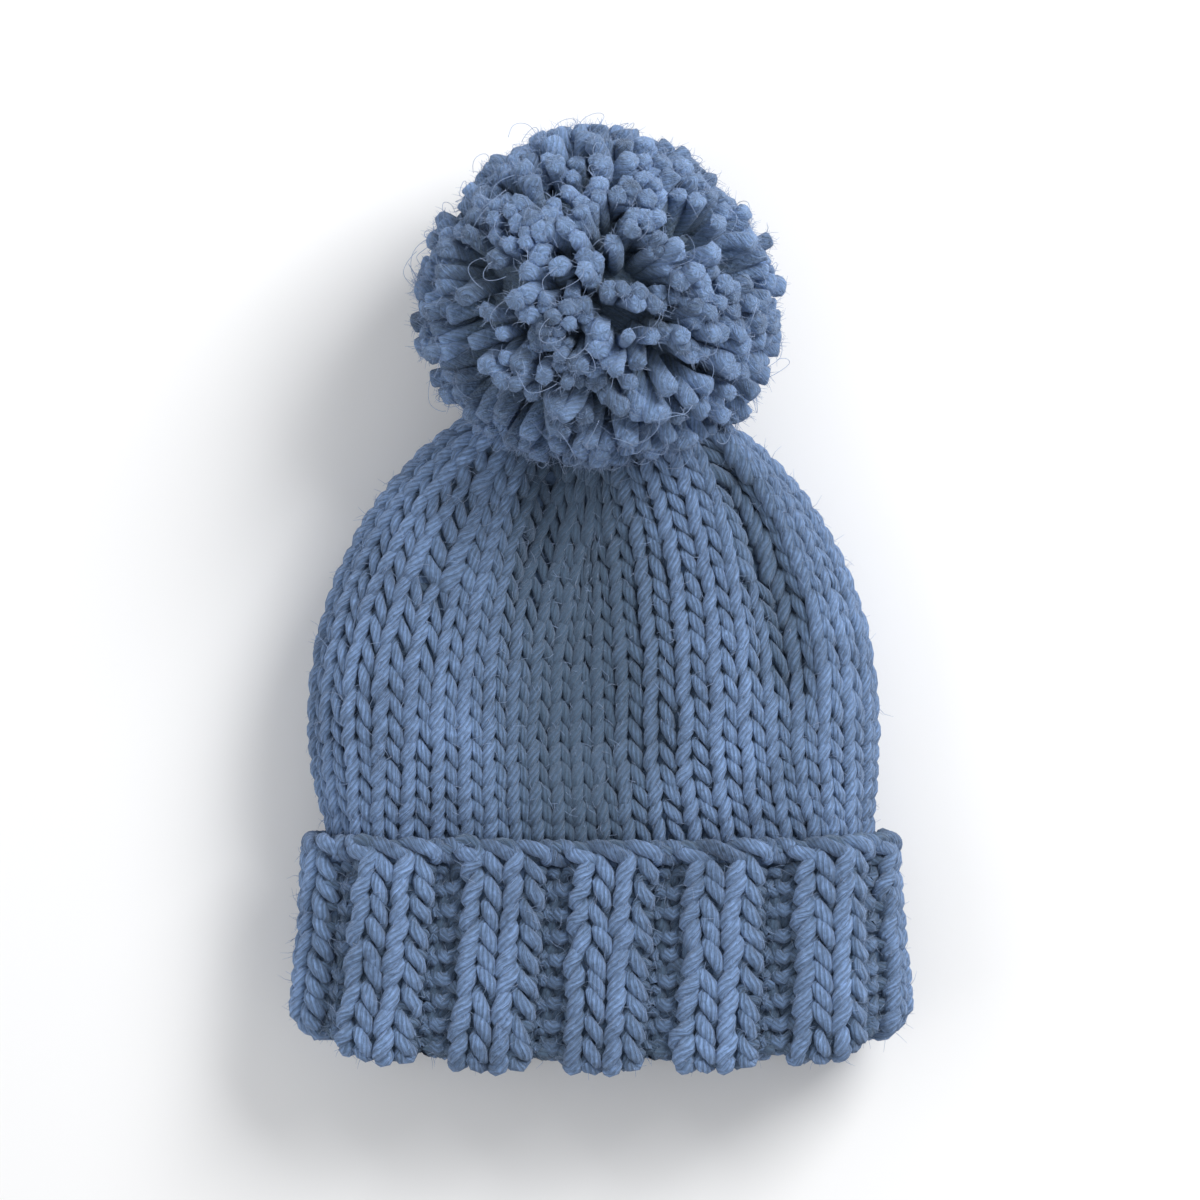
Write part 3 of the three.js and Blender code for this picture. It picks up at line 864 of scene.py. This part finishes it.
# %% Rows of the cuff
CUFF_PITCH = 7.95 * MM
FIRST_ROW = 0.75
OUTER_ROWS = int((OUTER_RUN + FOLD_RUN / 2) / CUFF_PITCH - FIRST_ROW + 0.5)
CUFF_ROWS = int((OUTER_RUN + FOLD_RUN + JOIN_Y - FOLD_Y) / CUFF_PITCH - FIRST_ROW)
HIDDEN_STEPS = 10
HIDDEN_SIDES = 6
VALLEY_SHADE = 0.4
FOLD_EASE = 0.5
SQUEEZED = 0.6
SQUEEZED_WALES = [0.9, 1.2, 1.8, 2.1]
CUFF_UNEVEN = 1.5
RUN_STEP = 0.5 * MM
WALE_STEP = 0.05


def cuff_fabric(run, wale):
    return with_normals(cuff_surface, run, wale, RUN_STEP, WALE_STEP, flip=-1.0)


def cuff_row(row, steps):
    """One round of cuff yarn. Seen on the outer leaf it leans the other way, because it hangs head down."""
    t, across, up, forward = row_path(4 * RIBS, steps, CUFF_UNEVEN)
    across = across - 2 * LEG_LEAN * np.cos(t)
    forward = forward + 2 * ROPE_FORWARD * np.sin(t)
    run = (row + FIRST_ROW + up) * CUFF_PITCH
    sign = knit_or_purl(t / (2 * math.pi))
    face, outward = cuff_fabric(run, across)
    radius = mix(YARN_RADIUS, RIB_RADIUS, 0.5 + 0.5 * sign)
    radius = radius * np.interp(across % 4, SQUEEZED_WALES, [1, SQUEEZED, SQUEEZED, 1])
    uneven = wander(4 * RIBS, steps, RADIUS_UNEVEN)
    radius = radius * (1 + ROPE_GAIN * np.sin(t) + leg_swell(forward) + uneven)
    fold = np.sin(np.clip((run - OUTER_RUN) / FOLD_FACE, 0, math.pi))
    path = face + outward * (forward * sign * RIB_FORWARD * mix(1, FOLD_EASE, fold))[:, None]
    depth = 0.5 + 0.5 * forward * sign - VALLEY_SHADE * (0.5 - 0.5 * sign)
    return path, outward, radius, np.clip(depth, 0, 1)


def cuff_sweeps(rows, steps, sides):
    sweeps = []
    for row in rows:
        path, outward, radius, depth = (value[None] for value in cuff_row(row, steps))
        number = [strand_number(row)]
        sweeps.append(sweep(path, outward, radius, sides, depth, number, closed=True, edge=FLANK_SHADE))
    return sweeps


print(f"{OUTER_ROWS} rows on the outer leaf, {CUFF_ROWS} in all")

# %% Knit the cuff
cuff_outer_sweeps = cuff_sweeps(range(OUTER_ROWS), STEPS, YARN_SIDES)
cuff_inner_sweeps = cuff_sweeps(range(OUTER_ROWS, CUFF_ROWS), HIDDEN_STEPS, HIDDEN_SIDES)
cuff_outer = yarn_object("cuff_outer_knit", cuff_outer_sweeps, knit_wool)
cuff_inner = yarn_object("cuff_inner_knit", cuff_inner_sweeps, knit_wool)

# %% [markdown]
# ### The cast-on edge
# The first loops on the needle wrap round each other, so the edge is a rope: two thick strands in a helix
# with one crossing for each stitch. From the front its strands slant down to the right.

# %% Cast-on rope
ROPE_RUN = 4.2 * MM
ROPE_STRAND = 2.7 * MM
ROPE_TURN = 2.3 * MM
ROPE_STEPS = 10
ROPE_UNEVEN = 0.08


def cast_on_sweeps():
    wale = np.arange(4 * RIBS * ROPE_STEPS) / ROPE_STEPS
    middle, outward = cuff_fabric(np.full_like(wale, ROPE_RUN), wale)
    along = unit(np.roll(middle, -1, axis=0) - np.roll(middle, 1, axis=0))
    upward = np.cross(outward, along)
    sweeps = []
    for strand in (0, 1):
        turn = (-math.pi * wale + strand * math.pi)[:, None]
        away = np.cos(turn) * outward + np.sin(turn) * upward
        path = middle + away * (ROPE_TURN * (1 + wander(4 * RIBS, ROPE_STEPS, ROPE_UNEVEN)))[:, None]
        radius = ROPE_STRAND * (1 + wander(4 * RIBS, ROPE_STEPS, RADIUS_UNEVEN))
        # Painted shade where each strand turns to the back of the rope.
        depth = 0.65 + 0.35 * np.cos(turn[:, 0])
        tube = (path[None], away[None], radius[None], YARN_SIDES, depth[None], [strand * 0.5])
        sweeps.append(sweep(*tube, closed=True))
    return sweeps


cast_on = yarn_object("cuff_cast_on_edge", cast_on_sweeps(), knit_wool)


def cuff_felt_grid():
    runs = np.linspace(ROPE_RUN, (CUFF_ROWS - 1) * CUFF_PITCH, FELT_ROWS // 2)
    run, wale = np.meshgrid(runs, np.arange(0, 4 * RIBS, 0.25), indexing="ij")
    return cuff_surface(run, wale)[::-1]


cuff_felt = felt_object("cuff_felt", cuff_felt_grid(), knit_wool)
for piece in (cuff_outer, cuff_inner, cast_on, cuff_felt):
    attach(piece, "root")
    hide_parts("cuff")

# %% [markdown]
# ## The bobble
# A bobble is made by winding yarn, tying it tightly in the middle and cutting the loops, so about a thousand
# short strands stand out from one point. They never stand evenly: neighbours lean together in clumps, and
# between clumps the eye sees into the dark. Each strand here is a swept tube from the dense middle to its
# cut end, where the plies come loose and spread. The bobble draws its own chance, so that a change to the
# knitting leaves it as it is.

# %% Where the bobble's strands end
chance = np.random.default_rng(9)
BOBBLE_RADII = np.array([64.5, 61, 63]) * MM
BOBBLE_MIDDLE = np.array([-2.5 * MM, RIM_Y + HAT_LENGTH - BOBBLE_RADII[1], 59 * MM])
STRANDS = 1080
STRAND_RADIUS = 3.15 * MM
ROOT_SHARE = 0.35
CLUMP_WAVES = 14
CLUMP_LEAN = 0.24
LOOSE_LEAN = 0.09
SHORTEST = 0.83
STRAY = 0.06
STRAY_FROM = 0.93
SHORTEST_KEPT = 0.45
UPPER_SLOPE = 0.13
TOP_LEAN = 0.16
RIGHT_BULGE = 0.04
LOW_BULGE = 0.1
PARTING_PUSH = 1.7
LAZY_SHARE = 0.12
LAZY_LEAN = 0.22
PARTINGS = [
    {"way": (-0.62, -0.05, 0.78), "width": 0.27, "depth": 0.24},
    {"way": (0.66, 0.26, 0.7), "width": 0.21, "depth": 0.17},
]


def sphere_directions(count):
    index = np.arange(count)
    height = 1 - (2 * index + 1) / count
    bearing = index * math.pi * (3 - math.sqrt(5))
    level = np.sqrt(1 - height**2)
    return np.stack([level * np.cos(bearing), height, level * np.sin(bearing)], axis=-1)


def clump_field(directions, waves, size):
    """A slowly turning random push, made from a few sine waves over the sphere."""
    push = np.zeros_like(directions)
    for _ in range(waves):
        wave = unit(chance.normal(size=3)) * chance.uniform(6, 11)
        way = unit(chance.normal(size=3))
        push += way * np.sin(directions @ wave + chance.uniform(0, 2 * math.pi))[:, None]
    return push * size / math.sqrt(waves)


def in_crown(point, clearance):
    """Whether a point lies in the crown, or nearer to its top face than the clearance."""
    rises = np.linspace(0, 1, 200)
    ys, widths, heights, middles = dome_section(rises)
    rise = np.interp(point[:, 1], ys, rises)
    half_width = np.interp(rise, rises, widths)
    half_height = np.interp(rise, rises, heights)
    middle = np.interp(rise, rises, middles)
    across = point[:, 0] - CROWN_SHIFT
    beyond = np.clip(np.abs(across) - (half_width - half_height), 0, None)
    arc = np.sqrt(np.clip((half_height + clearance) ** 2 - beyond**2, 0, None))
    dent = dent_depth(across / half_width, mix(LOW_SHARE, 1, rise)) * half_height / (CROWN_THICKNESS / 2)
    under_top = point[:, 2] < middle + arc + FRONT_CAMBER - dent
    return (arc > 0) & under_top & (point[:, 2] > middle - arc) & (point[:, 1] < ys[-1] + clearance)

# %% Strands from the middle to their cut ends
def bobble_strands():
    ways = sphere_directions(STRANDS)
    tips = unit(ways + clump_field(ways, CLUMP_WAVES, CLUMP_LEAN) + chance.normal(0, LOOSE_LEAN, ways.shape))
    lazy = np.where(chance.uniform(0, 1, (STRANDS, 1)) < LAZY_SHARE, LAZY_LEAN, 0)
    tips = unit(tips + lazy * unit(np.cross(ways, chance.normal(size=ways.shape))))
    tips = unit(tips - TOP_LEAN * np.maximum(0, ways[:, 1:2]) ** 3 * np.array([1, 0, 0]))
    reach = mix(SHORTEST, 1.0, chance.uniform(0, 1, STRANDS) ** 0.6)
    reach = reach + np.where(chance.uniform(0, 1, STRANDS) > STRAY_FROM, STRAY, 0)
    right, top = ways[:, 0], ways[:, 1]
    reach = reach - UPPER_SLOPE * np.abs(right) * np.maximum(0, top)
    reach = reach + np.maximum(0, right) * (RIGHT_BULGE + LOW_BULGE * np.maximum(0, -top))
    for parting in PARTINGS:
        middle = unit(np.array(parting["way"]))
        away = ways - middle
        near = np.exp(-np.sum(away**2, axis=-1) / parting["width"] ** 2)[:, None]
        tips = unit(tips + PARTING_PUSH * near * parting["width"] * unit(away))
        reach = reach - parting["depth"] * near[:, 0] ** 2
    root = BOBBLE_MIDDLE + ways * BOBBLE_RADII * ROOT_SHARE
    tip = BOBBLE_MIDDLE + tips * BOBBLE_RADII * reach[:, None]
    floor_limit = (BOBBLE_MIDDLE[2] - STRAND_RADIUS) / np.maximum(BOBBLE_MIDDLE[2] - tip[:, 2], 1e-6)
    tip = BOBBLE_MIDDLE + (tip - BOBBLE_MIDDLE) * np.minimum(1, floor_limit)[:, None]
    kept = np.ones(STRANDS)
    for share in np.linspace(1, 0.3, 15):
        inside = in_crown(mix(root, tip, kept[:, None]), STRAND_RADIUS)
        kept = np.where(inside, np.minimum(kept, share), kept)
    keep = kept > SHORTEST_KEPT
    return root[keep], mix(root, tip, kept[:, None])[keep]


strand_roots, strand_tips = bobble_strands()
print("strands:", len(strand_roots))

# %% Grow the strands
STRAND_PROFILE = [
    {"at": 0.0, "radius": 0.8, "lobe": 0.03},
    {"at": 0.42, "radius": 0.86, "lobe": 0.05},
    {"at": 0.66, "radius": 0.94, "lobe": 0.07},
    {"at": 0.82, "radius": 1.0, "lobe": 0.07},
    {"at": 0.94, "radius": 1.04, "lobe": 0.06},
    {"at": 0.98, "radius": 0.98, "lobe": 0.06},
    {"at": 0.997, "radius": 0.76, "lobe": 0.06},
    {"at": 1.0, "radius": 0.12, "lobe": 0.0},
]
STRAND_BEND = 5.5 * MM
STRAND_CURL = 5 * MM
STRAND_SIDES = 10
STRAND_FLUFF = 0.16
STRAND_THICKNESS = (0.78, 1.15)
# Painted shade inside the bobble: full within this share of its radius, fading out over the next share.
DARK_WITHIN = 0.58
DARK_RUN = 0.36


def random_across(line, most):
    """A push at right angles to each line, of random size and way."""
    way = np.cross(unit(line), unit(chance.normal(size=line.shape)))
    return (way * chance.uniform(0, most, (len(line), 1)))[:, None]


def strand_sweeps():
    count = len(strand_roots)
    at = np.array([row["at"] for row in STRAND_PROFILE])
    line = strand_tips - strand_roots
    path = strand_roots[:, None] + line[:, None] * at[:, None]
    path = path + random_across(line, STRAND_BEND) * (4 * at * (1 - at))[:, None]
    path = path + random_across(line, STRAND_CURL) * (at**3 - at)[:, None] * 2
    thickness = STRAND_RADIUS * chance.uniform(*STRAND_THICKNESS, (count, 1))
    radius = thickness * np.array([row["radius"] for row in STRAND_PROFILE])
    lobe = np.broadcast_to([row["lobe"] for row in STRAND_PROFILE], radius.shape)
    far = np.linalg.norm((path - BOBBLE_MIDDLE) / BOBBLE_RADII, axis=-1)
    depth = smooth((far - DARK_WITHIN) / DARK_RUN)
    up = np.broadcast_to(unit(chance.normal(size=(count, 1, 3))), path.shape)
    swept = sweep(path, up, radius, STRAND_SIDES, depth, chance.uniform(0, 1, count), lobe=lobe)
    bumps = chance.normal(size=swept["points"].shape[:3])
    bumps = (bumps + np.roll(bumps, 1, axis=2) + np.roll(bumps, 1, axis=1)) / 3
    middle = path[:, :, None]
    swept["points"] = middle + (swept["points"] - middle) * (1 + STRAND_FLUFF * bumps[..., None])
    return [swept]


bobble = yarn_object("pompom_strands", strand_sweeps(), bobble_yarn)
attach(bobble, "root")
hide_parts("pompom")

# %% [markdown]
# ### The bobble's middle and its tie
# Between the strands the eye could look right through, so the tightly tied middle is a furrowed ball in
# painted shade.
# The tie itself is hidden: two ends of yarn twisted together from a knot inside the crown to the middle.

# %% Dense middle and tie
CORE_SHARE = 0.62
CORE_TURNS = 40
CORE_STEPS = 32
CORE_RADIUS = 2.6 * MM
TIE_STEPS = 60
TIE_RADIUS = 1.25 * MM
TIE_TURNS = 5
TIE_END = 0.02
TWIST_RADIUS = 1.2 * MM
KNOT_RADIUS = 4 * MM
KNOT_INSIDE = 6 * MM
tie_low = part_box("pompom_tie")[0]


def core_sweep():
    """One long strand wound round a ball, from pole to pole."""
    count = CORE_TURNS * CORE_STEPS
    share = (np.arange(count) + 0.5) / count
    polar = math.pi * share
    bearing = 2 * math.pi * CORE_TURNS * share
    way = np.stack([np.sin(polar) * np.cos(bearing), np.cos(polar), np.sin(polar) * np.sin(bearing)], axis=-1)
    path = BOBBLE_MIDDLE + way * BOBBLE_RADII * CORE_SHARE
    radius, depth = np.full((1, count), CORE_RADIUS), np.full((1, count), 0.4)
    return sweep(path[None], way[None], radius, HIDDEN_SIDES, depth, [0.3])


def tie_sweeps():
    knot = np.array([CROWN_SHIFT, tie_low[1] + KNOT_INSIDE, tie_low[2] + KNOT_INSIDE])
    end = BOBBLE_MIDDLE + (knot - BOBBLE_MIDDLE) * TIE_END
    share = np.linspace(0, 1, TIE_STEPS)
    axis = unit(end - knot)
    side = unit(np.cross(axis, [1, 0, 0]))
    other = np.cross(axis, side)
    knot_turn = 1 - smooth((share - 0.05) / 0.15)
    radius, depth = np.full((1, TIE_STEPS), TIE_RADIUS), np.ones((1, TIE_STEPS))
    sweeps = []
    for strand in (0, 1):
        turn = (2 * math.pi * (TIE_TURNS * share) + strand * math.pi)[:, None]
        away = np.cos(turn) * side + np.sin(turn) * other
        path = mix(knot, end, share[:, None]) + away * mix(TWIST_RADIUS, KNOT_RADIUS, knot_turn)[:, None]
        sweeps.append(sweep(path[None], away[None], radius, YARN_SIDES, depth, [0.2]))
    return sweeps


bobble_core = yarn_object("pompom_middle", [core_sweep()], bobble_yarn)
tie = yarn_object("pompom_tie_yarn", tie_sweeps(), bobble_yarn)
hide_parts("pompom")
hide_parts("pompom_tie")
for piece in (bobble_core, tie):
    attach(piece, "root")

# %% [markdown]
# ## Fuzz
# Wool always sheds a few fibres from its surface, and they soften every edge. Each is a hair-thin curved
# tube with three sides. They start on the faces of the yarn that look outwards, and most lie along it. On
# the bobble they spray from the cut ends, and a few long ones lie over it in wide arcs.

# %% The fuzz finish
FUZZ_DARK = (0.2, 0.29, 0.48, 1)
FUZZ_PALE = (0.32, 0.42, 0.62, 1)
FUZZ_SURFACE = {"Roughness": 1.0, "Specular IOR Level": 0.1, "Sheen Weight": 0.3}
fuzz_wool, fuzz_tree, fuzz_shader = new_material("fuzz_wool", FUZZ_SURFACE)
fuzz_place = fuzz_tree.nodes.new("ShaderNodeTexCoord").outputs["Object"]
fuzz_noise = node(fuzz_tree, "ShaderNodeTexNoise", Vector=fuzz_place, Scale=300.0).outputs["Fac"]
fuzz_dyes = {"i0": fuzz_noise, "i6": FUZZ_DARK, "i7": FUZZ_PALE}
fuzz_color = node(fuzz_tree, "ShaderNodeMix", {"data_type": "RGBA"}, **fuzz_dyes)
fuzz_tree.links.new(fuzz_color.outputs[2], fuzz_shader.inputs["Base Color"])
print("fuzz finish made for both wools")

# %% Short and long fibres
FIBRE_RADIUS = 0.11 * MM
FIBRE_STEPS = 3
FIBRE_CURL = (0.2, 0.9)
CURL_STEPS = 12
CURL_LOWEST = 20 * MM
CURL_BEND = 4.0
STRAIGHTEST = 0.2
CURL_SWAY = 0.04
CURL_RISE = 0.25


def fibre_sweep(roots, ways, lengths):
    """Short fibres that leave their roots in these directions."""
    count = len(roots)
    share = np.linspace(0, 1, FIBRE_STEPS)
    curl = unit(np.cross(ways, chance.normal(size=(count, 3)))) * chance.uniform(*FIBRE_CURL, (count, 1))
    line = ways[:, None] * share[:, None] + curl[:, None] * (share**2)[:, None]
    path = roots[:, None] + lengths[:, None, None] * line
    up = np.broadcast_to(curl[:, None] + 1e-3, path.shape)
    radius = FIBRE_RADIUS * np.broadcast_to(mix(1.0, 0.35, share), (count, FIBRE_STEPS))
    return sweep(path, up, radius, 3, np.ones((count, FIBRE_STEPS)), chance.uniform(0, 1, count))


def curl_sweep(roots, outward, lengths):
    """Long loose fibres that lie over the surface in wide arcs."""
    count = len(roots)
    share = np.linspace(0, 1, CURL_STEPS)[None, :, None]
    way = unit(np.cross(outward, chance.normal(size=(count, 3))))
    side = np.cross(outward, way)
    bend = chance.uniform(-CURL_BEND, CURL_BEND, (count, 1, 1))
    bend = np.where(np.abs(bend) < STRAIGHTEST, STRAIGHTEST, bend)
    sway = CURL_SWAY * np.sin(share * chance.uniform(4, 9, (count, 1, 1)))
    line = way[:, None] * np.sin(share * bend) / bend
    line = line + side[:, None] * ((1 - np.cos(share * bend)) / bend + sway)
    line = line + outward[:, None] * CURL_RISE * np.sin(math.pi * share)
    path = roots[:, None] + lengths[:, None, None] * line
    up = np.broadcast_to(outward[:, None], path.shape)
    radius = np.full((count, CURL_STEPS), FIBRE_RADIUS)
    return sweep(path, up, radius, 3, np.ones((count, CURL_STEPS)), chance.uniform(0, 1, count))


# %% Roots on the yarn and at the strands' ends
CROWN_FIBRES = 4800
CUFF_FIBRES = 3200
BOBBLE_FIBRES = 12000
BOBBLE_CURLS = 220
FACING_OUT = 0.25
FIBRE_RISE = 0.55
CUFF_FLATNESS = 0.72
KNIT_LENGTHS = (1.5, 5.0)
BOBBLE_LENGTHS = (1.2, 4.5)
CURL_LENGTHS = (7, 18)


def roots_on(sweeps, outwards, count):
    """Random places on the yarn where its surface looks away from the fabric."""
    picked, ways = [], []
    rings = sum(swept["points"].shape[0] * swept["points"].shape[1] for swept in sweeps)
    for swept, outward in zip(sweeps, outwards):
        points = swept["points"]
        tubes, steps, sides, _ = points.shape
        wanted = max(1, round(count * tubes * steps / rings))
        tube = chance.integers(0, tubes, wanted * 3)
        step = chance.integers(0, steps - 1, wanted * 3)
        side = chance.integers(0, sides, wanted * 3)
        middle = points.mean(axis=2)
        point = points[tube, step, side]
        away = unit(point - middle[tube, step])
        along = unit(middle[tube, step + 1] - middle[tube, step])
        facing = np.sum(away * outward[tube, step], axis=-1)
        good = np.flatnonzero(facing > FACING_OUT)[:wanted]
        picked.append(point[good])
        lean = chance.uniform(-1, 1, (len(good), 1)) * along[good]
        ways.append(unit(FIBRE_RISE * away[good] + lean + chance.normal(0, 0.35, lean.shape)))
    return np.concatenate(picked), np.concatenate(ways)

# %% Lay the fuzz
def crown_outwards(part):
    return [split_round(values[1], part)[None] for values in crown_rows]


def cuff_outwards():
    """Away from the cuff's flat middle, which lies along x."""
    middles = [swept["points"].mean(axis=2) for swept in cuff_outer_sweeps]
    centre, flat = np.array([0, 0, CUFF_THICKNESS / 2]), [CUFF_FLATNESS, 1, 0]
    return [unit(middle - (centre + middle * flat)) for middle in middles]


def knit_fuzz():
    front, front_ways = roots_on(crown_front_sweeps, crown_outwards("front"), CROWN_FIBRES * 2 // 3)
    back, back_ways = roots_on(crown_back_sweeps, crown_outwards("back"), CROWN_FIBRES // 3)
    cuff, cuff_ways = roots_on(cuff_outer_sweeps, cuff_outwards(), CUFF_FIBRES)
    roots = np.concatenate([front, back, cuff])
    ways = np.concatenate([front_ways, back_ways, cuff_ways])
    return fibre_sweep(roots, ways, chance.uniform(*KNIT_LENGTHS, len(roots)) * MM)


def bobble_fuzz():
    pick = chance.integers(0, len(strand_tips), BOBBLE_FIBRES)
    line = unit(strand_tips - strand_roots)[pick]
    offset = np.cross(line, unit(chance.normal(size=line.shape))) * STRAND_RADIUS
    roots = strand_tips[pick] + offset * chance.uniform(0.2, 1.0, (len(pick), 1)) - line * 1.0 * MM
    ways = unit(line * 0.8 + offset / STRAND_RADIUS + chance.normal(0, 0.3, line.shape))
    return fibre_sweep(roots, ways, chance.uniform(*BOBBLE_LENGTHS, len(pick)) * MM)


def bobble_curls():
    high = np.flatnonzero(strand_tips[:, 2] > CURL_LOWEST)
    pick = chance.choice(high, BOBBLE_CURLS)
    roots = strand_tips[pick]
    lengths = chance.uniform(*CURL_LENGTHS, BOBBLE_CURLS) * MM
    return curl_sweep(roots, unit(roots - BOBBLE_MIDDLE), lengths)


knit_fibres = yarn_object("knit_fuzz", [knit_fuzz()], fuzz_wool)
bobble_fibres = yarn_object("pompom_fuzz", [bobble_fuzz(), bobble_curls()], fuzz_wool)
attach(knit_fibres, "root")
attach(bobble_fibres, "root")

# %% [markdown]
# ## Floor and light
# The hat lies on a pale, plain floor under soft light, as in a studio: a bright even surround, and one large
# soft lamp from the upper right that gives the stitches their shape.

# %% Floor
FLOOR_HALF = 2.0
FLOOR_LOWER = 0.5 * MM
floor_mesh = bpy.data.meshes.new("floor")
corners = [(x * FLOOR_HALF, y * FLOOR_HALF, 0) for x, y in ((-1, -1), (1, -1), (1, 1), (-1, 1))]
floor_mesh.from_pydata(corners, [], [(0, 1, 2, 3)])
floor_white, _, _ = new_material("floor_white", {"Base Color": (0.9, 0.9, 0.9, 1), "Roughness": 0.9})
floor_mesh.materials.append(floor_white)
floor = bpy.data.objects.new("floor", floor_mesh)
floor.location.z = -FLOOR_LOWER
bpy.context.scene.collection.objects.link(floor)
floor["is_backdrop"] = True
print("floor:", 2 * FLOOR_HALF, "m across")

# %% Soft light
world = bpy.data.worlds.new("soft_surround")
world.use_nodes = True
surround = world.node_tree.nodes["Background"]
surround.inputs["Color"].default_value = (0.97, 0.98, 1.0, 1)
surround.inputs["Strength"].default_value = 0.55
bpy.context.scene.world = world

AIMED_AT = Vector((0, 0, 0.03))
LAMPS = [
    {"name": "key_upper_right", "place": (0.75, 0.7, 1.0), "size": 0.7, "power": 18},
    {"name": "fill_left", "place": (-1.0, -0.2, 0.9), "size": 1.0, "power": 4},
]
for lamp in LAMPS:
    light = bpy.data.lights.new(lamp["name"], "AREA")
    light.size = lamp["size"]
    light.energy = lamp["power"]
    holder = bpy.data.objects.new(lamp["name"], light)
    holder.location = lamp["place"]
    holder.rotation_euler = (AIMED_AT - holder.location).to_track_quat("-Z", "Y").to_euler()
    bpy.context.scene.collection.objects.link(holder)
    print("lamp:", lamp["name"], lamp["power"], "W")
bpy.context.scene.view_settings.view_transform = "Standard"

# %% [markdown]
# ## Finish
# Both boxes, the frame's and the visual hat's, are printed side by side. The visual hat may stand only a
# little proud of the frame's box.

# %% Write both boxes and finish
visual_box = [list(corner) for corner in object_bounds()]
for label, box in (("cad", cad_box), ("visual", visual_box)):
    print(label, [[round(value, 4) for value in corner] for corner in box])
